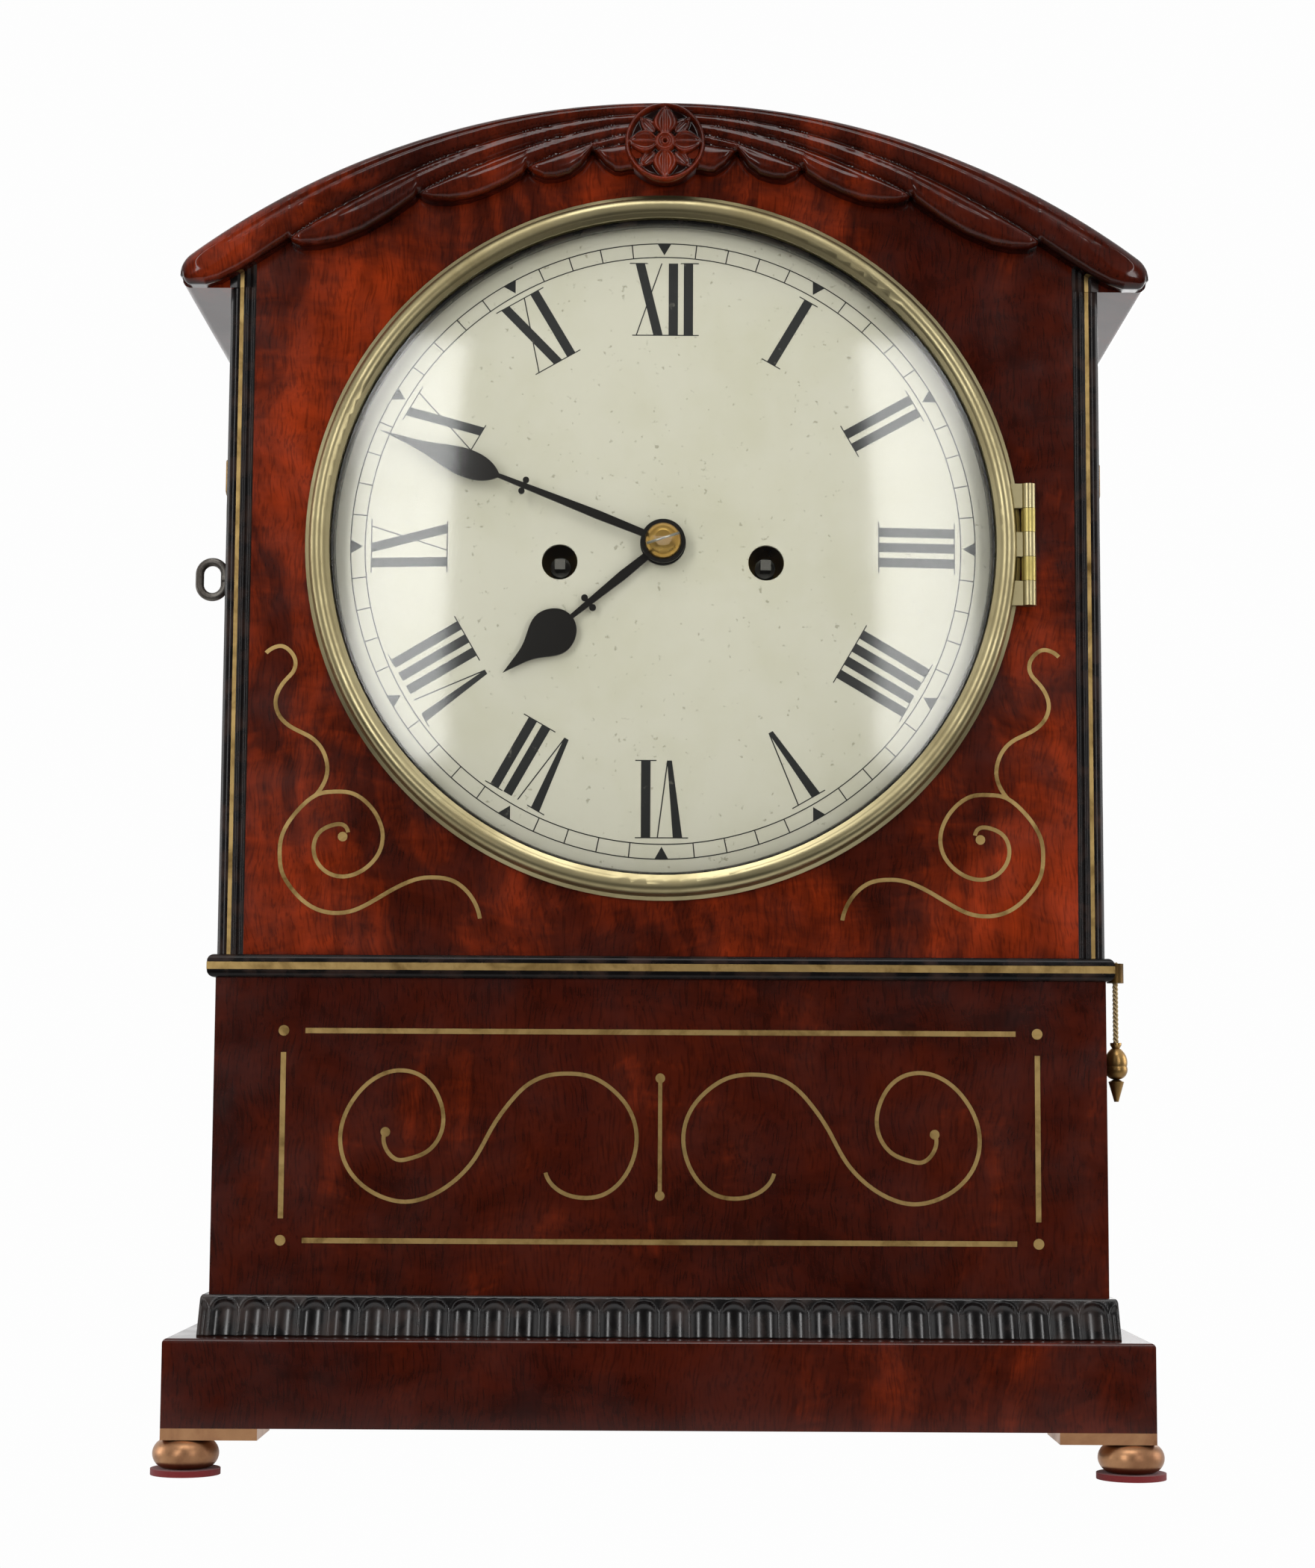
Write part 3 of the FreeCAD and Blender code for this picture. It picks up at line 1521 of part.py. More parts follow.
node("escape_wheel", make_escape_wheel())
node("pin_wheel", fuse(
    wheel(PIN, TEETH["pin_pinion"], pin_module, strike_plane - 1.5, pin_pinion_phase, 0, 5.4),
    wheel(PIN, TEETH["pin"], fly_module, pin_plane, fly_line, 4),
    staff(PIN),
    pivots(PIN),
))
node("fly", fuse(
    wheel(FLY, TEETH["fly_pinion"], fly_module, pin_plane - 1.5, fly_pinion_phase, 0, 4.6),
    block(
        FLY[0] - s.fly_span, FLY[0] + s.fly_span, plate_inner + 22, plate_inner + 46, FLY[1] - 0.4,
        FLY[1] + 0.4
    ),
    staff(FLY),
    pivots(FLY),
))

# Motion work in front of the front plate.
cannon_front = plate_front - 3.6
hour_wheel_front = plate_front - 7.4
node("cannon_pinion", fuse(
    wheel(
        CENTRE, TEETH["cannon"], cannon_module, cannon_front, cannon_line, 0, bore=arbor_bore.value
    ),
    cut(
        rod(cannon_outer, cannon_front - minute_front, CENTRE[0], minute_front, CENTRE[1], "Y"),
        rod(arbor_bore, cannon_front - minute_front, CENTRE[0], minute_front, CENTRE[1], "Y"),
    ),
))
node("hour_wheel", fuse(
    wheel(CENTRE, TEETH["hour"], hour_module, hour_wheel_front, hour_line, 5, bore=hour_pipe_inner.value),
    cut(
        rod(hour_pipe_outer, hour_wheel_front - hour_front, CENTRE[0], hour_front, CENTRE[1], "Y"),
        rod(hour_pipe_inner, hour_wheel_front - hour_front, CENTRE[0], hour_front, CENTRE[1], "Y"),
    ),
))
stud_reach = plate_front - hour_wheel_front + 0.6
node("minute_wheel", cut(
    fuse(
        wheel(MINUTE, TEETH["minute"], cannon_module, cannon_front, minute_phase, 0),
        wheel(
            MINUTE, TEETH["minute_pinion"], hour_module, hour_wheel_front - 0.3, minute_pinion_phase,
            0, 4.1
        ),
    ),
    rod(0.75 + s.running_gap, 20, MINUTE[0], hour_wheel_front - 5, MINUTE[1], "Y"),
))


# ---- plates, barrels and what stands on them ---------------------------------------------------

plate_half = s.plate_width / 2
pillar_x = plate_half - s.pillar_inset
pillar_low = seat_top + s.pillar_inset * 1.7
pillar_high = plate_top - s.pillar_inset * 1.4
pillar_spots = [(x, z) for x in (-pillar_x, pillar_x) for z in (pillar_low, pillar_high)]
pivot_hole = s.pivot_radius + s.running_gap
winding_hole = s.winding_arbor_radius + s.running_gap
train_spots = [THIRD, ESCAPE, PIN, FLY, HAMMER]


def make_front_plate():
    holes = [(x, z, pivot_hole) for x, z in train_spots + [PALLET]]
    holes += [(x, z, winding_hole) for x, z in (GOING, STRIKE)]
    holes += [(x, z, s.barrel_arbor_radius) for x, z in (GOING_BARREL, STRIKE_BARREL)]
    holes += [(x, z, s.pillar_radius / 2) for x, z in pillar_spots]
    holes.append((0, dial_z, s.arbor_radius + s.running_gap))
    plate = slab(rectangle(-plate_half, plate_half, seat_top, plate_top), plate_front, plate_inner, holes)
    stud = rod(0.75, stud_reach + 1, MINUTE[0], hour_wheel_front - 0.6, MINUTE[1], "Y")
    return fuse(plate, stud)


def make_back_plate():
    holes = [(x, z, pivot_hole) for x, z in train_spots]
    holes += [(x, z, s.pivot_radius * 2 + s.running_gap) for x, z in (GOING, STRIKE)]
    holes += [(x, z, s.barrel_arbor_radius) for x, z in (GOING_BARREL, STRIKE_BARREL)]
    holes += [(0, dial_z, pivot_hole), (0, PALLET[1], s.arbor_radius + 1)]
    plate = slab(rectangle(-plate_half, plate_half, seat_top, plate_top), plates_back, plate_outer, holes)
    pillars = []
    for x, z in pillar_spots:
        pillars.append(rod(s.pillar_radius, s.plate_spacing, x, plate_inner, z, "Y"))
        pillars.append(rod(s.pillar_radius / 2, s.plate_thickness + 1.5, x, plate_front - 1.5, z, "Y"))
    return fuse(plate, *pillars)


node("front_plate", make_front_plate())
node("back_plate", make_back_plate())
node("seatboard", block(
    -side_inner, side_inner, plate_front - 6, plate_outer + 4, waist_top, seat_top
))


def make_barrel(at):
    front = plate_inner + 12
    wall = 1.4
    radius = s.barrel_radius
    arbor_gap = s.barrel_arbor_radius + s.running_gap
    length = s.barrel_length
    return turned(
        [
            (arbor_gap, 0), (radius, 0), (radius, 1.2), (radius - 0.8, 1.2), (radius - 0.8, length - 1.2),
            (radius, length - 1.2), (radius, length), (arbor_gap, length), (arbor_gap, length - wall),
            (radius - wall - 0.8, length - wall), (radius - wall - 0.8, wall), (arbor_gap, wall),
        ],
        at[0], front, at[1], "Y",
    )


node("going_barrel", make_barrel(GOING_BARREL))
node("strike_barrel", make_barrel(STRIKE_BARREL))
node("barrel_arbors", together(*[
    rod(s.barrel_arbor_radius, plate_outer + 3 - plate_front, at[0], plate_front, at[1], "Y")
    for at in (GOING_BARREL, STRIKE_BARREL)
]))


# ---- escapement and pendulum -------------------------------------------------------------------

pendulum_y = plate_outer + s.pendulum_setback
cock_depth = 14
cock_half = 16
suspension_half = 0.15


def make_pallets():
    """An anchor that straddles the escape wheel, on the arbor that carries the crutch."""
    inner = s.escape_radius.value + 1.0
    outer = inner + 2.4
    x, z = ESCAPE[0].value, ESCAPE[1].value
    y = escape_plane.value
    spread = math.radians(35)

    def point(radius, angle):
        return Vector(x + radius * math.cos(angle), y, z + radius * math.sin(angle))

    edges = [
        Part.Arc(*[point(inner, angle) for angle in (spread, math.pi / 2, math.pi - spread)]).toShape(),
        Part.LineSegment(point(inner, math.pi - spread), point(outer, math.pi - spread)).toShape(),
        Part.Arc(*[point(outer, angle) for angle in (math.pi - spread, math.pi / 2, spread)]).toShape(),
        Part.LineSegment(point(outer, spread), point(inner, spread)).toShape(),
    ]
    band = Part.Face(Part.Wire(edges)).extrude(Vector(0, s.wheel_thickness.value, 0))
    hub = rod(3.0, s.wheel_thickness, PALLET[0], escape_plane, PALLET[1], "Y")
    staff_end = plate_outer + cock_depth - 0.3
    crutch_y = plate_outer + cock_depth - 4
    return fuse(
        formed(band),
        hub,
        arbor(PALLET, plate_inner + 0.3, staff_end),
        rod(s.pivot_radius, s.plate_thickness + 0.3, PALLET[0], plate_front + 0.2, PALLET[1], "Y"),
        rod(s.pivot_radius, 2.6, PALLET[0], staff_end, PALLET[1], "Y"),
        block(-1.3, 1.3, crutch_y, crutch_y + 1.6, PALLET[1] - 42, PALLET[1]),
        rod(1.0, pendulum_y - 1.5 - crutch_y, 0, crutch_y, PALLET[1] - 40, "Y"),
    )


def make_back_cock():
    low, high = PALLET[1] - 5, PALLET[1] + 5
    feet = [
        block(x, x + 6, plate_outer, plate_outer + cock_depth, low, high)
        for x in (-cock_half, cock_half - 6)
    ]
    cock_back = plate_outer + cock_depth
    bridge = block(-cock_half, cock_half, cock_back, cock_back + 3, low, high)
    stud = block(-3, 3, plate_outer + cock_depth + 3, pendulum_y + 3, PALLET[1] - 2, PALLET[1] + 5)
    hole = rod(pivot_hole, 5, 0, plate_outer + cock_depth - 1, PALLET[1], "Y")
    slit = block(-suspension_half - 0.3, suspension_half + 0.3, pendulum_y - 2.8, pendulum_y + 4,
                 PALLET[1] - 3, PALLET[1] + 6)
    return cut(fuse(bridge, stud, *feet), hole, slit)


def make_pendulum():
    bob_z = PALLET[1] - s.pendulum_length
    half = s.bob_thickness / 2
    bend = dome_radius(s.bob_radius, half)
    bob = turned(
        [(0, -half, bend), (s.bob_radius, 0, bend), (0, half)], 0, pendulum_y, bob_z, "Y"
    )
    return fuse(
        block(
            -suspension_half, suspension_half, pendulum_y - 2.5, pendulum_y + 2.5, PALLET[1] - 18,
            PALLET[1] + 3
        ),
        block(-2, 2, pendulum_y - 3, pendulum_y + 3, PALLET[1] - 22, PALLET[1] - 17),
        rod(1.2, s.pendulum_length + s.bob_radius - 12, 0, pendulum_y, bob_z - s.bob_radius - 8),
        bob,
        rod(4.0, 3, 0, pendulum_y, bob_z - s.bob_radius - 5),
    )


node("pallets", make_pallets())
node("back_cock", make_back_cock())
node("pendulum", make_pendulum())


# ---- bell and hammer ---------------------------------------------------------------------------

bell_y = plate_inner + s.plate_spacing / 2
bell_z = dial_z + s.bell_rise


def make_bell():
    wall = s.bell_wall
    radius = s.bell_radius
    tall = s.bell_height
    crest = radius * 0.35
    stud_hole = s.winding_arbor_radius
    outer_bend = tall * 1.1
    inner_bend = outer_bend - wall
    return turned(
        [
            (radius - wall, 0), (radius, 0, outer_bend), (crest, tall), (stud_hole, tall),
            (stud_hole, tall - wall), (crest, tall - wall, -inner_bend),
        ],
        0, bell_y, bell_z,
    )


def make_bell_stand():
    bar = block(-5, 5, plate_front, plate_outer, plate_top, plate_top + 3)
    stud = rod(s.winding_arbor_radius, bell_z + s.bell_height + 2 - plate_top, 0, bell_y, plate_top)
    seat = rod(6.0, bell_z + s.bell_height - s.bell_wall - plate_top - 2, 0, bell_y, plate_top + 2)
    nut = rod(5.0, 3, 0, bell_y, bell_z + s.bell_height)
    return fuse(bar, stud, seat, nut)


def make_hammer():
    arm_top = bell_z + 4
    head_start = HAMMER[0] + 1.5
    head_end = -s.bell_radius - 1.2
    return fuse(
        staff(HAMMER),
        pivots(HAMMER),
        block(HAMMER[0] - 1.2, HAMMER[0] + 1.2, bell_y - 1.5, bell_y + 1.5, HAMMER[1], arm_top),
        rod(4.0, head_end - head_start + 4, head_start - 4, bell_y, arm_top, "X"),
    )


node("bell", make_bell())
node("bell_stand", make_bell_stand())
node("hammer", make_hammer())


# ---- checks and files --------------------------------------------------------------------------

doc.recompute()
faults = []
for thing in doc.Objects:
    if {"Invalid", "Error"} & set(thing.State):
        faults.append(f"{thing.Label}: {thing.State}")
for label, thing in nodes.items():
    if thing.Shape.isNull() or not thing.Shape.isValid() or not thing.Shape.Solids:
        faults.append(f"{label}: no sound solid")
if faults:
    raise RuntimeError("; ".join(faults))

os.makedirs("parts", exist_ok=True)
for label, thing in nodes.items():
    thing.Shape.exportStep(f"parts/{label}.step")
    print(f"{label}: {len(thing.Shape.Solids)} solids, {thing.Shape.Volume:.1f} mm3")
print(f"{len(nodes)} nodes; crown at {crown.value:.1f} mm")
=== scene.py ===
import math

import bmesh
import bpy
from mathutils import Matrix, Vector, noise
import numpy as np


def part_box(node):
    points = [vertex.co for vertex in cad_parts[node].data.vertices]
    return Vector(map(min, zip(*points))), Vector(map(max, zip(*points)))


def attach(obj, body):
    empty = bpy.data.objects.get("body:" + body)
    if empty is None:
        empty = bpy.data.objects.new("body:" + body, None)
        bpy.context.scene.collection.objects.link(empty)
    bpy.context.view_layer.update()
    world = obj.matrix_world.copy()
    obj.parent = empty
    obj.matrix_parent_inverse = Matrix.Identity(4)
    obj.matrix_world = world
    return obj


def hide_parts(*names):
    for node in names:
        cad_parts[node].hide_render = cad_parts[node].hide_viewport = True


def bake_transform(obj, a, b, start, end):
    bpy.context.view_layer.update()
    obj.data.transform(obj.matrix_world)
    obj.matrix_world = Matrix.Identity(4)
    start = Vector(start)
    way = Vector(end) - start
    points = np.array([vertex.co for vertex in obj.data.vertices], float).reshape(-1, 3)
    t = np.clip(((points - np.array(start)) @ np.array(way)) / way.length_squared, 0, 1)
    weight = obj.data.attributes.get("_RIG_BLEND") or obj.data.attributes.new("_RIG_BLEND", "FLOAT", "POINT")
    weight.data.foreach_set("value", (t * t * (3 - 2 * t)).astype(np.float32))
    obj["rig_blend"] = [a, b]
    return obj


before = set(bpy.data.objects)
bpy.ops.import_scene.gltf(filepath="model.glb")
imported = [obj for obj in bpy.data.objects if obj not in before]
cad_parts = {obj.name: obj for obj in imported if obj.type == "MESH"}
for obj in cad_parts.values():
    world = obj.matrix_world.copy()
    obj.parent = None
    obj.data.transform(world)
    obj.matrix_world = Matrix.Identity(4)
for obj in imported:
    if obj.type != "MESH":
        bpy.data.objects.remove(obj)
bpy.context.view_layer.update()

bl_info = {
    "name": "Bracket Clock",
    "version": (1, 0, 0),
    "blender": (4, 5, 0),
    "location": "3D View > Sidebar > Clock",
    "description": "Dresses the bracket clock's solids with carving, dial print and materials",
    "category": "Object",
}

MM = 0.001
LYING_GRAIN = (0, math.pi / 2, 0)
CAVITY_SHADE = "cavity"
CASE = "case"

# Places on the case, in millimetres, that the dressing shares with the solids.
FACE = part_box("case_front_panel")[0].y / MM
DIAL_Z = (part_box("dial_plate")[0].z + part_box("dial_plate")[1].z) / 2 / MM
CASE_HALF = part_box("case_side_right")[1].x / MM
CROWN = 417.7
ROOF_RADIUS = 242.0
ROOF_CENTRE = CROWN - ROOF_RADIUS
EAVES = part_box("case_side_left")[1].z / MM


# ---- settings ----------------------------------------------------------------------------------

def colour(name, text, value):
    """A colour setting whose default is written in hexadecimal."""
    return bpy.props.FloatVectorProperty(
        name=name, description=text, default=from_hex(value), subtype="COLOR", size=4, min=0, max=1
    )


def length(name, text, value):
    """A length setting whose default is in millimetres."""
    return bpy.props.FloatProperty(name=name, description=text, default=value * MM, unit="LENGTH", min=0)


def from_hex(value):
    """A linear colour from an sRGB one written as six hexadecimal digits."""
    channels = [int(value[place:place + 2], 16) / 255 for place in (0, 2, 4)]
    linear = [c / 12.92 if c <= 0.04045 else ((c + 0.055) / 1.055) ** 2.4 for c in channels]
    return (*linear, 1.0)


class ClockCaseSettings(bpy.types.PropertyGroup):
    wood_dark: colour("Wood shade", "Darkest part of the mahogany", "220705")
    wood_mid: colour("Wood", "Body colour of the mahogany", "3a0f04")
    wood_light: colour("Wood flame", "Brightest part of the flame figure", "7c2609")
    ebony: colour("Ebonised wood", "Black mouldings", "0a0808")
    brass: colour("Brass", "Bezel, handles and feet", "a89d78")
    brass_dark: colour("Tarnish", "Dark patches on the brass", "5b4526")
    inlay: colour("Inlay", "Brass lines let into the wood", "a58a58")
    felt: colour("Felt", "Pads under the feet", "5e0a0e")
    carving_depth: length("Carving depth", "How deep the crest's leaves are cut", 3.4)


class ClockDialSettings(bpy.types.PropertyGroup):
    paint: colour("Dial paint", "Cream paint of the dial", "c8c3b3")
    paint_aged: colour("Aged paint", "Stains in the dial paint", "bcb7a0")
    ink: colour("Ink", "Numerals and minute track", "100f0e")
    hand: colour("Hands", "Blackened steel", "16120f")
    outer_track: length("Track outside", "Outer radius of the minute track", 96.4)
    inner_track: length("Track inside", "Inner radius of the minute track", 91.9)
    numeral_top: length("Numeral top", "Radius at the outer end of the numerals", 89.9)
    numeral_foot: length("Numeral foot", "Radius at the inner end of the numerals", 66.4)
    stroke: length("Stroke", "Width of a numeral's thick stroke", 2.9)
    hairline: length("Hairline", "Width of the thin strokes", 0.34)


# ---- materials ---------------------------------------------------------------------------------

def put(tree, kind, inputs=None, **settings):
    """A new node with its settings, values and links."""
    node = tree.nodes.new(kind)
    for name, value in settings.items():
        setattr(node, name, value)
    for key, value in (inputs or {}).items():
        if isinstance(value, bpy.types.NodeSocket):
            tree.links.new(value, node.inputs[key])
        else:
            node.inputs[key].default_value = value
    return node


def ramp(tree, factor, stops):
    """Colours against a factor, as (place, colour) stops from low to high."""
    node = put(tree, "ShaderNodeValToRGB", {"Fac": factor})
    band = node.color_ramp
    band.elements[0].position, band.elements[0].color = stops[0]
    band.elements[1].position, band.elements[1].color = stops[-1]
    for place, shade in stops[1:-1]:
        band.elements.new(place).color = shade
    return node.outputs["Color"]


def grey(value):
    return (value, value, value, 1.0)


def mixed(tree, factor, first, second, blend_type="MIX"):
    node = put(tree, "ShaderNodeMix", data_type="RGBA", blend_type=blend_type)
    for index, value in ((0, factor), (6, first), (7, second)):
        if isinstance(value, bpy.types.NodeSocket):
            tree.links.new(value, node.inputs[index])
        else:
            node.inputs[index].default_value = value
    return node.outputs[2]


def maths(tree, operation, first, second):
    return put(tree, "ShaderNodeMath", {0: first, 1: second}, operation=operation).outputs[0]


def vector_maths(tree, operation, inputs):
    return put(tree, "ShaderNodeVectorMath", inputs, operation=operation).outputs[0]


def new_material(name):
    material = bpy.data.materials.new(name)
    material.use_nodes = True
    tree = material.node_tree
    tree.nodes.clear()
    output = tree.nodes.new("ShaderNodeOutputMaterial")
    return material, tree, output


def finish_material(tree, output, inputs):
    shader = put(tree, "ShaderNodeBsdfPrincipled", inputs)
    tree.links.new(shader.outputs["BSDF"], output.inputs["Surface"])


def place_of(tree, stretch=(1, 1, 1), turn=(0, 0, 0), shift=(0, 0, 0)):
    """Object coordinates, stretched, turned and shifted."""
    coordinates = tree.nodes.new("ShaderNodeTexCoord").outputs["Object"]
    mapping = put(tree, "ShaderNodeMapping", {
        "Vector": coordinates, "Scale": stretch, "Rotation": turn, "Location": shift,
    })
    return mapping.outputs["Vector"]


def cloud(tree, vector, scale, detail=4.0, distortion=0.0, roughness=0.5):
    """Noise between 0 and 1."""
    return put(tree, "ShaderNodeTexNoise", {
        "Vector": vector, "Scale": scale, "Detail": detail, "Distortion": distortion, "Roughness": roughness,
    }).outputs["Fac"]


def bump(tree, height, strength, distance):
    return put(tree, "ShaderNodeBump", {
        "Height": height, "Strength": strength, "Distance": distance * MM,
    }).outputs["Normal"]


def bent(tree, amount, scale, shift=(0, 0, 0)):
    """Object coordinates bent by a slow noise, so that grain drawn in them swirls."""
    start = place_of(tree, shift=shift)
    drift = put(tree, "ShaderNodeTexNoise", {"Vector": start, "Scale": scale, "Detail": 2.0}).outputs["Color"]
    centred = vector_maths(tree, "SUBTRACT", {0: drift, 1: (0.5, 0.5, 0.5)})
    small = vector_maths(tree, "SCALE", {0: centred, 3: amount})
    return vector_maths(tree, "ADD", {0: start, 1: small})


def stretched(tree, vector, stretch, turn=(0, 0, 0)):
    mapping = put(tree, "ShaderNodeMapping", {"Vector": vector, "Scale": stretch, "Rotation": turn})
    return mapping.outputs["Vector"]


def wood(
    name, settings, flame=1.0, shade=0.0, grain_turn=(0, 0, 0), polish=0.13, shift=(0, 0, 0), carved=False
):
    """Polished mahogany: a swirling flame figure with short ripples across it and fine dark pores.

    flame is the figure's strength, shade darkens it, polish is the lowest roughness, shift moves
    the figure so that no two boards match, and carved paints shade into the hollows of a carving.
    """
    material, tree, output = new_material(name)
    dark, middle, light = settings.wood_dark[:], settings.wood_mid[:], settings.wood_light[:]
    swirled = bent(tree, 0.06, 9.0, shift)
    broad = cloud(tree, stretched(tree, swirled, (15, 15, 8), grain_turn), 1.0, 3.0, 0.6)
    streak = cloud(tree, stretched(tree, swirled, (110, 110, 16), grain_turn), 1.0, 4.0, 0.3, 0.6)
    ripple = cloud(tree, stretched(tree, swirled, (48, 48, 190), grain_turn), 1.0, 2.0, 0.8)
    figure = maths(tree, "ADD", maths(tree, "MULTIPLY", broad, 0.66), maths(tree, "MULTIPLY", streak, 0.34))
    figure = maths(tree, "ADD", figure, maths(tree, "MULTIPLY", maths(tree, "SUBTRACT", ripple, 0.5), 0.13))
    figure = maths(tree, "SUBTRACT", figure, shade)
    base = ramp(tree, figure, [(0.26, dark), (0.48, middle), (0.66, light)])
    base = mixed(tree, flame, middle, base)
    pores = cloud(tree, stretched(tree, bent(tree, 0.012, 30.0), (1500, 1500, 130), grain_turn), 1.0, 2.0)
    pore_shade = ramp(tree, pores, [(0.36, grey(0.4)), (0.5, grey(1.0))])
    base = mixed(tree, 0.6, base, pore_shade, "MULTIPLY")
    grime = cloud(tree, place_of(tree, (22, 22, 40), shift=(9, 4, 2)), 1.0, 8.0, 0.5, 0.7)
    grime_shade = ramp(tree, grime, [(0.36, grey(0.42)), (0.56, grey(1.0))])
    base = mixed(tree, 0.8, base, grime_shade, "MULTIPLY")
    # Painted shade: the deeper a point lies in the carving, the darker its colour, for the shade that falls
    # in the recesses.
    if carved:
        hollow = put(tree, "ShaderNodeAttribute", attribute_name=CAVITY_SHADE).outputs["Fac"]
        painted_hollow_shade = ramp(tree, hollow, [(0.0, grey(1.0)), (0.45, grey(0.7)), (1.0, grey(0.08))])
        base = mixed(tree, 1.0, base, painted_hollow_shade, "MULTIPLY")
    wear = cloud(tree, place_of(tree, (60, 60, 60)), 1.0, 6.0)
    roughness = ramp(tree, wear, [(0.3, grey(polish)), (0.75, grey(polish + 0.14))])
    finish_material(tree, output, {
        "Base Color": base,
        "Roughness": roughness,
        "Specular IOR Level": 0.2,
        "Coat Weight": 0.2,
        "Coat Roughness": 0.04,
        "Normal": bump(tree, maths(tree, "ADD", pores, maths(tree, "MULTIPLY", wear, 0.4)), 0.06, 0.08),
    })
    return material


def black_wood(name, settings, gloss=0.4):
    """Wood stained black and polished, a little rubbed to brown."""
    material, tree, output = new_material(name)
    wear = cloud(tree, place_of(tree, (140, 140, 140)), 1.0, 6.0, 0.4)
    base = ramp(tree, wear, [(0.45, settings.ebony[:]), (0.8, from_hex("2b1c16"))])
    roughness = ramp(tree, wear, [(0.3, grey(0.18)), (0.7, grey(0.36))])
    finish_material(tree, output, {
        "Base Color": base,
        "Roughness": roughness,
        "Specular IOR Level": gloss,
        "Coat Weight": gloss * 0.6,
        "Coat Roughness": 0.1,
        "Normal": bump(tree, wear, 0.25, 0.2),
    })
    return material


def metal(name, bright, dull, roughness, patches=38.0):
    """Rubbed metal with tarnish in patches."""
    material, tree, output = new_material(name)
    patch = cloud(tree, place_of(tree), patches, 6.0, 0.5, 0.6)
    base = ramp(tree, patch, [(0.42, bright), (0.7, dull)])
    rough = ramp(tree, patch, [(0.35, grey(roughness)), (0.75, grey(roughness + 0.22))])
    lines = cloud(tree, place_of(tree, (900, 900, 120)), 1.0, 2.0)
    finish_material(tree, output, {
        "Base Color": base,
        "Metallic": 1.0,
        "Roughness": rough,
        "Normal": bump(tree, lines, 0.1, 0.05),
    })
    return material


def plain(name, shade, roughness, fuzz=0.0, metallic=0.0):
    """One even colour, with fibres where fuzz is above nought."""
    material, tree, output = new_material(name)
    inputs = {"Base Color": shade, "Roughness": roughness, "Metallic": metallic}
    if fuzz:
        fibres = cloud(tree, place_of(tree), 2200.0, 3.0)
        inputs["Normal"] = bump(tree, fibres, fuzz, 0.4)
        inputs["Sheen Weight"] = 0.1
    finish_material(tree, output, inputs)
    return material


def dial_paint(settings):
    """Old cream paint: faint stains and specks."""
    material, tree, output = new_material("dial_paint")
    stain = cloud(tree, place_of(tree), 24.0, 6.0, 0.3, 0.62)
    base = ramp(tree, stain, [(0.46, settings.paint[:]), (0.86, settings.paint_aged[:])])
    speck = cloud(tree, place_of(tree), 520.0, 3.0)
    specks = ramp(tree, speck, [(0.26, from_hex("8b846c")), (0.34, grey(1.0))])
    base = mixed(tree, 0.5, base, specks, "MULTIPLY")
    finish_material(tree, output, {
        "Base Color": base,
        "Roughness": 0.5,
        "Specular IOR Level": 0.3,
        "Normal": bump(tree, stain, 0.08, 0.2),
    })
    return material


def ink_paint(settings):
    """Black paint with small worn spots."""
    material, tree, output = new_material("ink")
    wear = cloud(tree, place_of(tree), 420.0, 5.0, 0.2)
    base = ramp(tree, wear, [(0.66, settings.ink[:]), (0.78, from_hex("56524a"))])
    finish_material(tree, output, {"Base Color": base, "Roughness": 0.55})
    return material


def clear_glass(name, strength=1.0):
    """Thin glass that lets light through and mirrors the room at a slant."""
    material, tree, output = new_material(name)
    fresnel = put(tree, "ShaderNodeFresnel", {"IOR": 1.5}).outputs["Fac"]
    factor = maths(tree, "MULTIPLY", fresnel, strength)
    see = put(tree, "ShaderNodeBsdfTransparent", {"Color": from_hex("fdfefd")}).outputs["BSDF"]
    shine = put(tree, "ShaderNodeBsdfGlossy", {"Roughness": 0.1}).outputs["BSDF"]
    mix = put(tree, "ShaderNodeMixShader", {0: factor, 1: see, 2: shine})
    tree.links.new(mix.outputs[0], output.inputs["Surface"])
    return material


def dress(material, *names):
    """Gives CAD nodes this material."""
    for name in names:
        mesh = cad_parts[name].data
        mesh.materials.clear()
        mesh.materials.append(material)


# ---- mesh helpers ------------------------------------------------------------------------------

def mark_hollows(builder, hollows):
    """Keeps how deep each vertex lies in the carving, for the shade painted into the recesses."""
    layer = builder.verts.layers.float[CAVITY_SHADE]
    for vertex, hollow in hollows:
        vertex[layer] = min(max(hollow, 0.0), 1.0)


def to_object(name, mesh_builder, material, body, smooth=True):
    """A mesh object from a bmesh in millimetres."""
    for vertex in mesh_builder.verts:
        vertex.co *= MM
    bmesh.ops.recalc_face_normals(mesh_builder, faces=mesh_builder.faces)
    mesh = bpy.data.meshes.new(name)
    mesh_builder.to_mesh(mesh)
    mesh_builder.free()
    mesh.materials.append(material)
    mesh.polygons.foreach_set("use_smooth", [smooth] * len(mesh.polygons))
    piece = bpy.data.objects.new(name, mesh)
    bpy.context.scene.collection.objects.link(piece)
    if body:
        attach(piece, body)
    return piece


def grid_faces(builder, rows):
    """Quads between rows of vertices of equal length."""
    for upper, lower in zip(rows, rows[1:]):
        for index in range(len(upper) - 1):
            builder.faces.new((upper[index], upper[index + 1], lower[index + 1], lower[index]))


def mix_between(low, high, share):
    return low + (high - low) * share


def step(low, high, value):
    """A smooth rise from 0 at low to 1 at high."""
    share = min(max((value - low) / (high - low), 0.0), 1.0)
    return share * share * (3 - 2 * share)


def bell(value, centre, width):
    """A bump of height 1 at the centre."""
    return math.exp(-(((value - centre) / width) ** 2))


def polar(radius, angle):
    """A place across and up from a centre, for an angle clockwise from the top."""
    return radius * math.sin(angle), radius * math.cos(angle)


# ---- carved crest ------------------------------------------------------------------------------

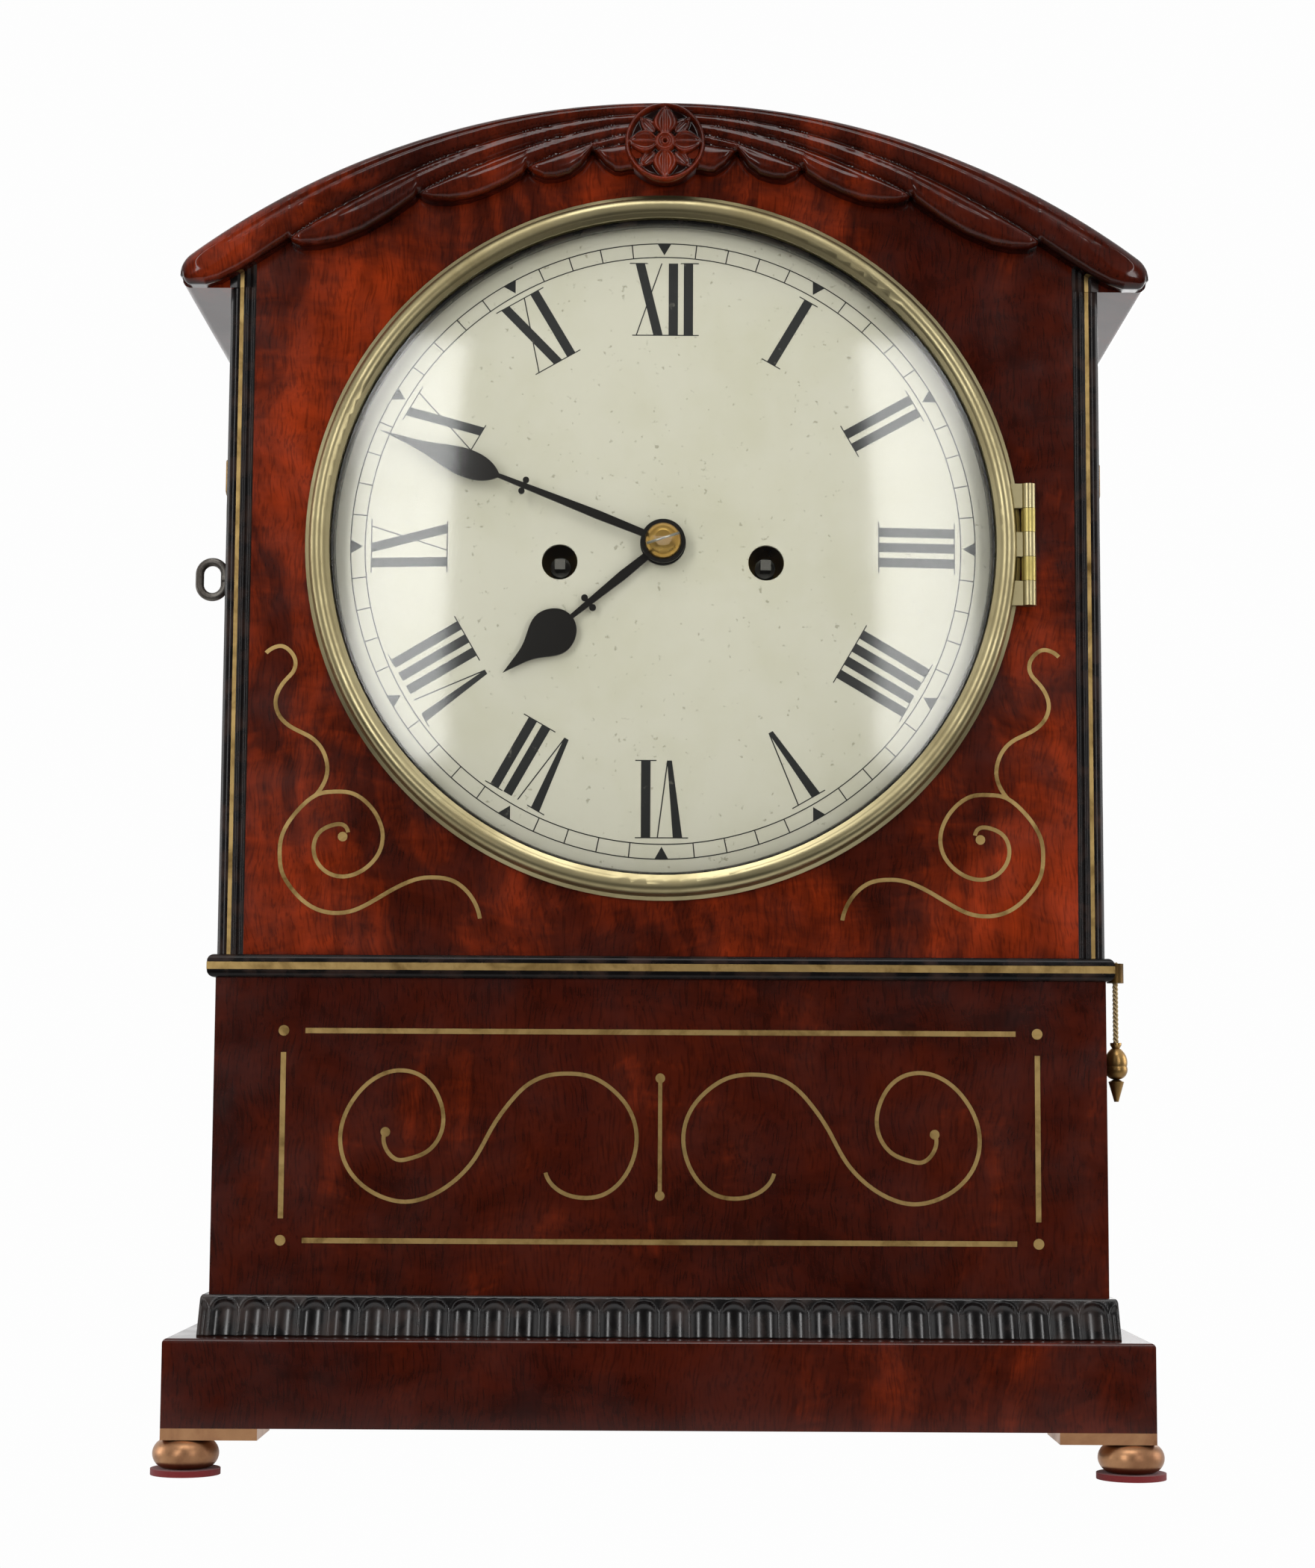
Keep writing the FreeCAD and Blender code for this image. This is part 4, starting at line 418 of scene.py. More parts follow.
CREST_HALF = 149.1
CREST_NOSE = 2.4
CREST_TIP = 8.0
CREST_BOARD = 8.0
CREST_UNDERCUT = 0.35
ROSETTE_RADIUS = 12.6
ROSETTE_PROUD = 1.5
# The lower edge from the middle to the tip, as distance from the middle and height.
CREST_EDGE = [
    (0.0, 396.4), (11.1, 396.6), (13.5, 396.0), (15.5, 396.1), (18.8, 398.2), (21.2, 401.2),
    (22.5, 402.8), (23.1, 401.4), (25.6, 397.8), (29.2, 395.1), (33.3, 393.8), (37.3, 393.5),
    (40.7, 395.0), (42.7, 397.1), (43.8, 395.2), (48.4, 392.3), (54.4, 389.3), (60.5, 387.1),
    (66.5, 386.1), (71.6, 386.2), (75.0, 387.3), (76.3, 388.6), (77.4, 386.9), (84.7, 381.6),
    (92.7, 376.8), (100.8, 373.3), (106.9, 371.9), (112.3, 371.8), (114.9, 372.9), (115.9, 374.6),
    (117.1, 373.6), (124.0, 368.9), (131.1, 364.3), (137.1, 361.0), (141.5, 359.8), (145.9, 359.8),
]
# Each groove between leaves: where it meets the lower edge, its depth at the rosette, and its bend.
CREST_GROOVES = [(115.6, 3.6, 1.5), (76.1, 6.4, 1.4), (42.6, 9.4, 1.3), (22.4, 12.4, 1.0)]


def crest_top(x):
    """Height of the crest's top at a distance from the middle."""
    span = ROOF_RADIUS - CREST_TIP
    tip_x = CREST_HALF - CREST_TIP
    if x > tip_x * ROOF_RADIUS / span:
        tip_z = ROOF_CENTRE + math.sqrt(span**2 - tip_x**2)
        return tip_z + math.sqrt(max(CREST_TIP**2 - (x - tip_x) ** 2, 0.0))
    return ROOF_CENTRE + math.sqrt(ROOF_RADIUS**2 - x * x)


def crest_low(x):
    """Height of the crest's lower edge at a distance from the middle."""
    if x > CREST_EDGE[-1][0]:
        over = min(x - CREST_EDGE[-1][0], CREST_NOSE)
        return EAVES + CREST_NOSE - math.sqrt(max(CREST_NOSE**2 - over * over, 0.0))
    for (x0, z0), (x1, z1) in zip(CREST_EDGE, CREST_EDGE[1:]):
        if x <= x1:
            return mix_between(z0, z1, (x - x0) / (x1 - x0))
    return EAVES


def crest_height(x, z):
    """How far the carving stands out, as a share of its depth, at a point right of the middle."""
    depth = crest_top(x) - z
    floor = crest_top(x) - crest_low(x)
    bounds = [0.0]
    tips = [CREST_HALF]
    for end, near_depth, power in CREST_GROOVES:
        if x < end:
            along = max((x - 8.0) / (end - 8.0), 0.0) ** power
            bounds.append(mix_between(near_depth, crest_top(end) - crest_low(end), along))
            tips.append(end)
    bounds.append(floor)
    for upper, lower, tip in zip(bounds, bounds[1:], tips):
        if depth <= lower + 1e-6 or lower == floor:
            across = min(max((depth - upper) / max(lower - upper, 0.01), 0.0), 1.0)
            rise = math.sin(math.pi * across**0.85) ** 0.55 if 0 < across < 1 else 0.0
            rise -= 0.2 * bell(across, 0.3, 0.06) * (1 - step(tip - 26, tip - 6, x))
            swell = 0.62 + 0.38 * step(12, 60, x)
            swell += 0.16 * bell(x, tip - 9, 7)
            end = max(tip - x, 0.0) / (9.0 if tip == CREST_HALF else 4.0)
            return max(rise * swell * (math.sqrt(max(1 - (1 - end) ** 2, 0.0)) if end < 1 else 1.0), 0.0)
    return 0.0


def make_crest(settings, material):
    """The carved board across the front of the roof."""
    builder = bmesh.new()
    builder.verts.layers.float.new(CAVITY_SHADE)
    rows = 56
    stations = [CREST_HALF * (1 - (1 - share) ** 1.15) for share in (n / 420 for n in range(421))]
    columns = []
    hollows = []
    carve = settings.carving_depth / MM
    for sign in (-1, 1):
        for x in (reversed(stations) if sign < 0 else stations[1:]):
            column = []
            for row in range(rows + 1):
                share = 0.5 - 0.5 * math.cos(math.pi * row / rows)
                z = mix_between(crest_top(x) - 0.02, crest_low(x), share)
                out = crest_height(x, z)
                chip = 0.12 * noise.noise(Vector((x * sign * 0.25, z * 0.4, 3.0)))
                undercut = 0.8 + CREST_UNDERCUT * step(0.85, 1.0, share)
                y = FACE - CREST_BOARD + carve * (1 - out) * undercut + chip * out
                column.append(builder.verts.new((x * sign, max(y, FACE - CREST_BOARD), z)))
                # How hollow the point lies, which the carved wood turns into painted shade.
                hollows.append((column[-1], 1.05 - 1.25 * out))
            columns.append(column)
    grid_faces(builder, columns)
    backs = []
    for column in columns:
        top, low = column[0].co, column[-1].co
        backs.append((builder.verts.new((top.x, FACE, top.z)), builder.verts.new((low.x, FACE, low.z))))
    for index in range(len(columns) - 1):
        near_column, far_column = columns[index], columns[index + 1]
        (top, low), (next_top, next_low) = backs[index], backs[index + 1]
        builder.faces.new((near_column[0], far_column[0], next_top, top))
        builder.faces.new((near_column[-1], far_column[-1], next_low, low))
        builder.faces.new((top, next_top, next_low, low))
    for index in (0, -1):
        builder.faces.new(columns[index] + [backs[index][1], backs[index][0]])
    mark_hollows(builder, hollows)
    crest = to_object("carved_crest", builder, material, CASE)
    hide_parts("pediment")
    return crest


# The right corner's moulding in plan: places out from its inner edge, and how far each stands proud.
CORNER_WIDTH = 8.1
CORNER_REEDS = [
    (0.0, 0.1), (0.95, 0.6), (1.9, 0.1), (2.85, 0.6), (3.8, 0.1), (5.0, 0.1), (5.9, 0.7), (8.1, 0.4),
]
CORNER_STRING = [(3.8, 0.3), (5.0, 0.3)]
HEAD_OVERLAP = 1.5


def make_column_head(name, outline, sign, material):
    """A strip with this plan that runs from the eaves up behind the crest."""
    builder = bmesh.new()
    columns = []
    for across, proud in outline:
        x = CASE_HALF - CORNER_WIDTH + across
        front, top = FACE - proud, crest_low(x) + HEAD_OVERLAP
        column = [(FACE, EAVES), (front, EAVES), (front, top), (FACE, top)]
        columns.append([builder.verts.new((x * sign, y, z)) for y, z in column])
    grid_faces(builder, columns)
    return to_object(name, builder, material, CASE, smooth=False)


def make_column_heads(black, brass):
    """The corner mouldings and their strings, carried up over the roof's face to the crest."""
    for sign, side in ((-1, "left"), (1, "right")):
        make_column_head(f"column_head_{side}", CORNER_REEDS, sign, black)
        make_column_head(f"column_string_{side}", CORNER_STRING, sign, brass)


def petal(radius, angle, inner, outer, half_width):
    """The height of an almond petal with a raised edge, whose middle lies at angle 0."""
    along = radius * math.cos(angle)
    across = abs(radius * math.sin(angle))
    if not inner < along < outer:
        return 0.0
    share = (along - inner) / (outer - inner)
    width = half_width * math.sin(math.pi * share**0.8)
    if width <= 0.05 or across >= width:
        return 0.0
    inside = across / width
    return (0.4 + 0.6 * bell(inside, 0.8, 0.2)) * (1 - inside**8) + 0.25 * bell(across, 0.0, 0.35)


def rosette_height(radius, angle):
    """The relief of the rosette: a ring, four large petals, four small ones and an eye."""
    quarter = math.pi / 2
    main = (angle + quarter / 2) % quarter - quarter / 2
    between = angle % quarter - quarter / 2
    height = 1.9 * bell(radius, ROSETTE_RADIUS - 0.9, 0.7)
    height += 1.1 * petal(radius, between, 4.4, 11.0, 2.1)
    height = max(height, 2.4 * petal(radius, main, 2.2, 11.6, 3.9))
    if radius < 3.3:
        height = 1.2 + 1.1 * bell(radius, 2.4, 0.6) + 1.1 * bell(radius, 0.9, 0.5)
        height -= 1.6 * bell(radius, 0.0, 0.4)
    return height


def make_rosette(material):
    """The round flower in the middle of the crest."""
    builder = bmesh.new()
    builder.verts.layers.float.new(CAVITY_SHADE)
    centre_z = CROWN - ROSETTE_RADIUS - 0.5
    rings, spokes = 44, 160
    columns = []
    for spoke in range(spokes + 1):
        angle = 2 * math.pi * (spoke % spokes) / spokes
        column = []
        for ring in range(1, rings + 1):
            radius = ROSETTE_RADIUS * ring / rings
            height = rosette_height(radius, angle)
            y = FACE - CREST_BOARD + 1.0 - height
            if ring == rings:
                y = FACE - CREST_BOARD + 1.6
            y = max(y, FACE - CREST_BOARD - ROSETTE_PROUD)
            across, up = polar(radius, angle)
            # The last value is how hollow the point lies, which the carved wood turns into painted shade; the
            # back edge is the most shaded.
            column.append((across, y, centre_z + up, 1 - height * 0.75))
        column.append((column[-1][0], FACE - 2, column[-1][2], 1.0))
        columns.append(column)
    rows = [[builder.verts.new(point[:3]) for point in column] for column in columns[:-1]]
    mark_hollows(builder, [
        (vertex, point[3]) for row, column in zip(rows, columns) for vertex, point in zip(row, column)
    ])
    rows.append(rows[0])
    grid_faces(builder, rows)
    middle = builder.verts.new((0, FACE - CREST_BOARD + 0.6, centre_z))
    for row, following in zip(rows, rows[1:]):
        builder.faces.new((middle, row[0], following[0]))
    return to_object("crest_rosette", builder, material, CASE)


# ---- fluted moulding --------------------------------------------------------------------------

FLUTE_PITCH = 8.96
FLUTE_HALF = 3.9
FLUTE_DEPTH = 1.5
FLUTE_SLOPE = 0.9


def flute_cut(along, up, height):
    """How deep the moulding is cut at a place along it: upright channels with arched heads."""
    across = (along / FLUTE_PITCH % 1 - 0.5) * FLUTE_PITCH
    spring = height - 1.0 - FLUTE_HALF
    reach = math.hypot(across, up - spring) if up > spring else abs(across)
    inside = reach / FLUTE_HALF
    lip = -0.16 * bell(inside, 1.06, 0.09)
    return lip + (FLUTE_DEPTH * (1 - inside * inside) ** 0.62 if inside < 1 else 0.0)


def make_flutes(material):
    """The black moulding of upright channels round the front and the sides."""
    low, high = (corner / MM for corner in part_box("fluted_moulding"))
    height = high.z - low.z
    rows = 22
    builder = bmesh.new()
    half = high.x
    wall, back = CASE_HALF, high.y

    def corner(index, up):
        inward = 0.2 + FLUTE_SLOPE * up / height + 0.5 * step(height - 0.8, height, up)
        x = (half - inward) * (-1, 1, 1, -1)[index]
        return Vector((x, low.y + inward if index < 2 else back, low.z + up))

    inner = [(-wall, FACE), (wall, FACE), (wall, back), (-wall, back)]
    for side, inward in ((0, Vector((0, 1, 0))), (1, Vector((-1, 0, 0))), (3, Vector((1, 0, 0)))):
        first, last = side, (side + 1) % 4
        run = (corner(first, 0) - corner(last, 0)).length
        pieces = int(run / 0.56)
        columns = []
        for piece in range(pieces + 1):
            share = piece / pieces
            margin = min(share, 1 - share) * run
            column = []
            for row in range(rows + 1):
                up = height * row / rows
                spot = corner(first, up).lerp(corner(last, up), share)
                depth = flute_cut(run * (share - 0.5), up, height) * step(0.6, 1.6, margin)
                column.append(builder.verts.new(spot + inward * depth))
            columns.append(column)
        grid_faces(builder, columns)
        for level in (0, -1):
            edge = [column[level] for column in columns]
            z = edge[0].co.z
            ends = [builder.verts.new((*inner[end], z)) for end in (last, first)]
            builder.faces.new(edge + ends)
    bmesh.ops.remove_doubles(builder, verts=builder.verts, dist=0.001)
    moulding = to_object("flute_carving", builder, material, CASE)
    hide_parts("fluted_moulding")
    return moulding


# ---- lion masks --------------------------------------------------------------------------------

MASK_RADIUS = 17.0
MASK_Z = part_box("handle_bosses")[1].z / MM - MASK_RADIUS
MASK_Y = (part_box("handle_bosses")[0].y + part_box("handle_bosses")[1].y) / 2 / MM


def mask_height(u, v):
    """The relief of a lion's face over a round boss, for shares of the radius across and up."""
    radius = math.hypot(u, v)
    angle = math.atan2(v, u)
    height = 5.4 * math.sqrt(max(1 - (radius * 0.96) ** 2, 0.0))
    mane = step(0.5, 0.72, radius)
    locks = 0.9 * abs(math.cos(11 * angle + 3 * radius)) + 0.4 * math.cos(23 * angle)
    height += mane * locks * (1.1 - radius)
    side = abs(u)
    height += 1.5 * bell(side, 0.0, 0.1) * bell(v, 0.08, 0.34)
    height += 0.9 * math.exp(-((side - 0.22) ** 2 + (v - 0.12) ** 2) / 0.006)
    height -= 0.9 * math.exp(-((side - 0.22) ** 2 + (v - 0.04) ** 2) / 0.014)
    height += 1.0 * math.exp(-((side - 0.26) ** 2 + (v - 0.3) ** 2) / 0.016)
    height += 1.3 * math.exp(-((side - 0.2) ** 2 + (v + 0.26) ** 2) / 0.03)
    height += 1.4 * math.exp(-((side - 0.46) ** 2 + (v - 0.5) ** 2) / 0.014)
    height -= 0.8 * math.exp(-((side - 0.45) ** 2 + (v - 0.47) ** 2) / 0.004)
    return max(height, 0.4)


def make_mask(sign, material):
    """A lion's face over one of the handle bosses."""
    builder = bmesh.new()
    rings, spokes = 40, 160
    rows = []
    for ring in range(1, rings + 1):
        share = ring / rings
        row = []
        for spoke in range(spokes):
            angle = 2 * math.pi * spoke / spokes
            u, v = share * math.cos(angle), share * math.sin(angle)
            edge = 1 - step(0.94, 1.0, share)
            x = CASE_HALF + mask_height(u, v) * edge + 0.05
            row.append(builder.verts.new((x * sign, MASK_Y + u * MASK_RADIUS, MASK_Z + v * MASK_RADIUS)))
        rows.append(row + row[:1])
    grid_faces(builder, rows)
    middle = builder.verts.new(((CASE_HALF + mask_height(0, 0)) * sign, MASK_Y, MASK_Z))
    for first, second in zip(rows[0], rows[0][1:]):
        builder.faces.new((middle, first, second))
    side = "left" if sign < 0 else "right"
    return to_object(f"lion_mask_{side}", builder, material, CASE)


# ---- dial print --------------------------------------------------------------------------------

DOME_RADIUS = (103.0**2 + 6.5**2) / 13.0
PRINT_PROUD = 0.05
GLYPH_WIDTH = {"I": 1.0, "V": 2.75, "X": 2.95}
GLYPH_GAP = 0.62
NUMERALS = ["XII", "I", "II", "III", "IIII", "V", "VI", "VII", "VIII", "IX", "X", "XI"]


def on_dome(x, z, proud=PRINT_PROUD):
    """A point on the dial's domed face, or just in front of it."""
    sag = DOME_RADIUS - math.sqrt(DOME_RADIUS**2 - x * x - z * z)
    return Vector((x, FACE + sag - proud, DIAL_Z + z))


class DialPrint:
    """Collects flat ink shapes that lie on the dial's dome."""

    def __init__(self):
        self.builder = bmesh.new()

    def shape(self, points):
        """One flat face through points across and up from the dial's middle."""
        self.builder.faces.new([self.builder.verts.new(on_dome(x, z)) for x, z in points])

    def band(self, inner, outer, first, last, pieces):
        """Part of a ring between two angles."""
        for piece in range(pieces):
            a = mix_between(first, last, piece / pieces)
            b = mix_between(first, last, (piece + 1) / pieces)
            self.shape([polar(inner, a), polar(outer, a), polar(outer, b), polar(inner, b)])

    def bar(self, frame_at, start, end, width_start, width_end=None):
        """A stroke between two points of a numeral's own frame, cut square to the rows."""
        width_end = width_start if width_end is None else width_end
        corners = [
            (start[0] - width_start / 2, start[1]), (start[0] + width_start / 2, start[1]),
            (end[0] + width_end / 2, end[1]), (end[0] - width_end / 2, end[1]),
        ]
        pieces = 4
        for piece in range(pieces):
            low, high = piece / pieces, (piece + 1) / pieces
            self.shape([frame_at(*[mix_between(p, q, share) for p, q in zip(*pair)]) for pair, share in (
                ((corners[0], corners[3]), low), ((corners[1], corners[2]), low),
                ((corners[1], corners[2]), high), ((corners[0], corners[3]), high),
            )])


def draw_numeral(sheet, text, angle, settings):
    """One Roman numeral with its foot to the dial's middle."""
    foot, top = settings.numeral_foot / MM, settings.numeral_top / MM
    thick, thin = settings.stroke / MM, settings.hairline / MM

    def at(u, v):
        return (
            v * math.sin(angle) + u * math.cos(angle),
            v * math.cos(angle) - u * math.sin(angle),
        )

    widths = [GLYPH_WIDTH[letter] * thick for letter in text]
    total = sum(widths) + GLYPH_GAP * thick * (len(text) - 1)
    left = -total / 2
    overhang = thick * 0.62
    sheet.bar(at, (0, top - thin / 2), (0, top + thin / 2), total + overhang * 2)
    for letter, width in zip(text, widths):
        middle = left + width / 2
        if letter == "I":
            sheet.bar(at, (middle, foot), (middle, top), thick)
            sheet.bar(at, (middle, foot - thin / 2), (middle, foot + thin / 2), thick + overhang * 2)
        elif letter == "V":
            sheet.bar(at, (middle, foot), (left + thick / 2, top), thick * 0.5, thick)
            sheet.bar(at, (middle + thick * 0.2, foot), (left + width - thin, top), thin * 1.1)
        else:
            sheet.bar(at, (left + width - thick / 2, foot), (left + thick / 2, top), thick)
            sheet.bar(at, (left + thin, foot), (left + width - thin, top), thin * 1.1)
            sheet.bar(at, (middle, foot - thin / 2), (middle, foot + thin / 2), width + overhang)
        left += width + GLYPH_GAP * thick


def make_dial_print(settings, material):
    """The minute track, its five minute marks and the numerals."""
    sheet = DialPrint()
    outer, inner = settings.outer_track / MM, settings.inner_track / MM
    line = settings.hairline / MM
    for radius in (outer, inner):
        sheet.band(radius - line / 2, radius + line / 2, 0, 2 * math.pi, 240)
    for minute in range(60):
        angle = 2 * math.pi * minute / 60
        if minute % 5:
            turn = line / 2 / inner
            sheet.shape([
                polar(inner, angle - turn), polar(outer, angle - turn), polar(outer, angle + turn),
                polar(inner, angle + turn),
            ])
        else:
            half = 2.2 / outer
            base, tip = outer + 0.1, inner + 0.7
            sheet.shape([polar(base, angle - half), polar(base, angle + half), polar(tip, angle)])
    for hour, text in enumerate(NUMERALS):
        draw_numeral(sheet, text, 2 * math.pi * hour / 12, settings)
    return to_object("dial_print", sheet.builder, material, CASE, smooth=False)


# ---- small pieces ------------------------------------------------------------------------------

def tube(builder, start, end, radius, sides=20):
    """A closed round bar between two points."""
    axis = (end - start).normalized()
    across = axis.orthogonal().normalized()
    other = axis.cross(across)
    rows = []
    for centre in (start, end):
        row = []
        for side in range(sides):
            angle = 2 * math.pi * side / sides
            outward = across * math.cos(angle) + other * math.sin(angle)
            row.append(builder.verts.new(centre + outward * radius))
        rows.append(row + row[:1])
    grid_faces(builder, rows)
    for row in (rows[0], rows[-1]):
        builder.faces.new(row[:-1])


PIN_TILT = math.radians(18)
PIN_HALF = 5.2
PIN_RADIUS = 0.42
PIN_SUNK = 0.2


def make_hand_pin(material):
    """The taper pin that holds the collet on the hands' arbor."""
    half = Vector((math.cos(PIN_TILT), 0, math.sin(PIN_TILT))) * PIN_HALF
    middle = Vector((0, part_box("hand_collet")[0].y / MM + PIN_SUNK, DIAL_Z))
    builder = bmesh.new()
    tube(builder, middle - half, middle + half, PIN_RADIUS)
    return to_object("hand_pin", builder, material, "minute_hand_set")


# The rebate's section, as radius and distance behind the case's face.
REBATE_SECTION = [(101.9, -1.75), (100.9, 0.6), (100.6, 2.4), (101.9, 2.4)]


def make_rebate(material):
    """A black ring inside the bezel, in front of the dial's edge: partly the rebate's own black, partly
    painted shade for the gap between bezel and dial.
    """
    builder = bmesh.new()
    spokes = 240
    rows = []
    for spoke in range(spokes):
        row = []
        for radius, y in REBATE_SECTION:
            across, up = polar(radius, 2 * math.pi * spoke / spokes)
            row.append(builder.verts.new((across, FACE + y, DIAL_Z + up)))
        rows.append(row + row[:1])
    grid_faces(builder, rows + rows[:1])
    return to_object("bezel_rebate", builder, material, "bezel_door")


def make_winding_squares(material):
    """Steel squares and their shoulders, seen through the holes in the dial."""
    for body, node in (("going_fusee_set", "going_fusee"), ("strike_fusee_set", "strike_fusee")):
        low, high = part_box(node)
        x, z = (low.x + high.x) / 2 / MM, (low.z + high.z) / 2 / MM
        tip = low.y / MM
        builder = bmesh.new()
        bmesh.ops.create_cube(builder, size=1.0, matrix=(
            Matrix.Translation((x, tip + 4.45, z)) @ Matrix.Diagonal((3.2, 9.0, 3.2, 1.0))
        ))
        tube(builder, Vector((x, tip + 6.3, z)), Vector((x, tip + 9.0, z)), 3.15, sides=28)
        to_object(f"{node}_square", builder, material, body, smooth=False)


def make_cord(material):
    """Three twisted strands down the cord's line."""
    low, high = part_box("repeat_cord")
    centre = (low + high) / 2
    route = [Vector((centre.x, centre.y, z)) for z in (high.z, centre.z, low.z)]
    run = high.z - low.z
    radius = (high.x - low.x) / 2
    strand = radius * 0.52
    offset = radius - strand
    turns, steps, sides = 8, 96, 10
    builder = bmesh.new()
    for number in range(3):
        rows = []
        for place in range(steps + 1):
            share = place / steps
            angle = 2 * math.pi * (turns * share + number / 3)
            middle = Vector((centre.x, centre.y, high.z - run * share))
            outward = Vector((math.cos(angle), math.sin(angle), 0))
            row = []
            for side in range(sides):
                turn = 2 * math.pi * side / sides
                point = middle + outward * (offset + strand * math.cos(turn))
                point.z += strand * math.sin(turn)
                row.append(builder.verts.new(point / MM))
            rows.append(row + row[:1])
        grid_faces(builder, rows)
        for row in (rows[0], rows[-1]):
            builder.faces.new(row[:-1])
    cord = to_object("repeat_cord_twist", builder, material, None)
    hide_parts("repeat_cord")
    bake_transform(cord, CASE, "repeat_line", start=tuple(route[0]), end=tuple(route[-1]))
    return cord


# ---- operators ---------------------------------------------------------------------------------

def case_settings():
    return bpy.context.scene.clock_case


def dial_settings():
    return bpy.context.scene.clock_dial


class CLOCK_OT_case(bpy.types.Operator):
    """Veneers the case and blacks its mouldings"""

    bl_idname = "clock.case"
    bl_label = "Case"

    def execute(self, context):
        settings = case_settings()
        dress(wood("flame_mahogany", settings, shade=-0.01), "case_front_panel")
        dress(wood("base_mahogany", settings, 0.8, 0.08, shift=(3.1, 0.4, 1.7)), "base_front_panel")
        side_wood = wood("side_mahogany", settings, 0.8, 0.06, shift=(5, 2, 0))
        dress(side_wood, "case_side_left", "case_side_right", "base_carcass", "roof_shell")
        dress(wood("plinth_mahogany", settings, 0.6, 0.07, LYING_GRAIN, shift=(1, 7, 2)), "plinth")
        back_wood = wood("back_mahogany", settings, 0.5, 0.02, polish=0.45)
        dress(back_wood, "case_back_frame", "back_door_frame", "seatboard")
        ebonised = black_wood("ebonised", settings)
        reeds = black_wood("ebonised_reeds", settings, 0.12)
        dress(reeds, "corner_mouldings", "waist_moulding")
        make_column_heads(reeds, plain("string_brass", settings.inlay[:], 0.4, metallic=1.0))
        make_flutes(ebonised)
        dress(plain("felt", settings.felt[:], 0.95, fuzz=0.3), "foot_pads")
        return {"FINISHED"}


class CLOCK_OT_crest(bpy.types.Operator):
    """Carves the crest's leaves and its rosette"""

    bl_idname = "clock.crest"
    bl_label = "Carved crest"

    def execute(self, context):
        settings = case_settings()
        material = wood("carved_mahogany", settings, 0.8, 0.02, LYING_GRAIN, shift=(2, 1, 5), carved=True)
        make_crest(settings, material)
        make_rosette(material)
        return {"FINISHED"}


class CLOCK_OT_brass(bpy.types.Operator):
    """Gives the bezel, inlay, handles and feet their metals, and adds the masks"""

    bl_idname = "clock.brass"
    bl_label = "Brass"

    def execute(self, context):
        settings = case_settings()
        bright, dull = settings.brass[:], settings.brass_dark[:]
        dress(metal("bezel_brass", bright, from_hex("7d7150"), 0.3, 20.0), "bezel")
        # The rebate's black is partly painted shade, for the gap between bezel and dial.
        make_rebate(black_wood("rebate_black_and_shade", settings))
        dress(metal("hinge_brass", from_hex("b8a868"), from_hex("a39458"), 0.3, 60.0), "bezel_hinge")
        dress(metal("collet_brass", from_hex("dcb264"), from_hex("b98a44"), 0.24, 90.0), "hand_collet")
        aged = metal("aged_brass", from_hex("99794a"), dull, 0.3)
        dress(aged, "handle_bosses", "handle_ring_left", "handle_ring_right")
        dress(aged, "repeat_pull", "back_door_button")
        dress(metal("tarnished_brass", from_hex("5c4626"), from_hex("2e2214"), 0.4), "cord_guide")
        dress(metal("foot_brass", from_hex("a37a58"), from_hex("6a4632"), 0.3), "ball_feet")
        inlay = metal("inlay_brass", settings.inlay[:], from_hex("66502c"), 0.38, 90.0)
        dress(inlay, "base_inlay", "panel_scrolls", "case_stringing")
        dress(metal("key_steel", from_hex("8d8983"), from_hex("4d4843"), 0.35), "key", "back_door_pins")
        for sign in (-1, 1):
            make_mask(sign, aged)
        return {"FINISHED"}


class CLOCK_OT_dial(bpy.types.Operator):
    """Paints the dial and prints its numerals and minute track"""

    bl_idname = "clock.dial"
    bl_label = "Dial"

    def execute(self, context):
        settings = dial_settings()
        dress(dial_paint(settings), "dial_plate")
        make_dial_print(settings, ink_paint(settings))
        return {"FINISHED"}


class CLOCK_OT_hands(bpy.types.Operator):
    """Blackens the hands and pins their collet"""

    bl_idname = "clock.hands"
    bl_label = "Hands"

    def execute(self, context):
        dress(plain("hand_steel", dial_settings().hand[:], 0.42, metallic=0.6), "hour_hand", "minute_hand")
        make_hand_pin(metal("pin_steel", from_hex("b5b0a6"), from_hex("6b655c"), 0.3))
        make_winding_squares(metal("winding_steel", from_hex("77746f"), from_hex("2c2a28"), 0.4))
        return {"FINISHED"}


class CLOCK_OT_movement(bpy.types.Operator):
    """Gives the movement, bell and lock their metals"""

    bl_idname = "clock.movement"
    bl_label = "Movement"

    def execute(self, context):
        brass = metal("movement_brass", from_hex("c9a55c"), from_hex("93733a"), 0.24)
        dress(brass, "front_plate", "back_plate", "going_barrel", "strike_barrel", "going_fusee",
              "strike_fusee", "centre_wheel", "third_wheel", "escape_wheel", "cannon_pinion",
              "minute_wheel", "hour_wheel", "pin_wheel", "fly", "back_cock", "pendulum", "lock_body")
        steel = metal("movement_steel", from_hex("a8a6a2"), from_hex("6d6a66"), 0.25)
        dress(steel, "hammer", "pallets", "barrel_arbors", "bell_stand", "lock_bolt")
        dress(metal("bell_metal", from_hex("c7ab70"), from_hex("8d7747"), 0.22), "bell")
        return {"FINISHED"}


class CLOCK_OT_glass(bpy.types.Operator):
    """Glazes the bezel and the back door"""

    bl_idname = "clock.glass"
    bl_label = "Glass"

    def execute(self, context):
        dress(clear_glass("dial_glass", 0.6), "bezel_glass")
        dress(clear_glass("door_glass"), "back_door_glass")
        return {"FINISHED"}


class CLOCK_OT_cord(bpy.types.Operator):
    """Twists the repeat cord"""

    bl_idname = "clock.cord"
    bl_label = "Repeat cord"

    def execute(self, context):
        make_cord(plain("cord_fibre", from_hex("a08a62"), 0.9, fuzz=0.5))
        return {"FINISHED"}


STUDIO_WHITE = 0.985
STUDIO_DARK = 0.03
WORLD_STRENGTH = 0.62
FLOOR_REACH = 3000
FLOOR_Z = -0.4
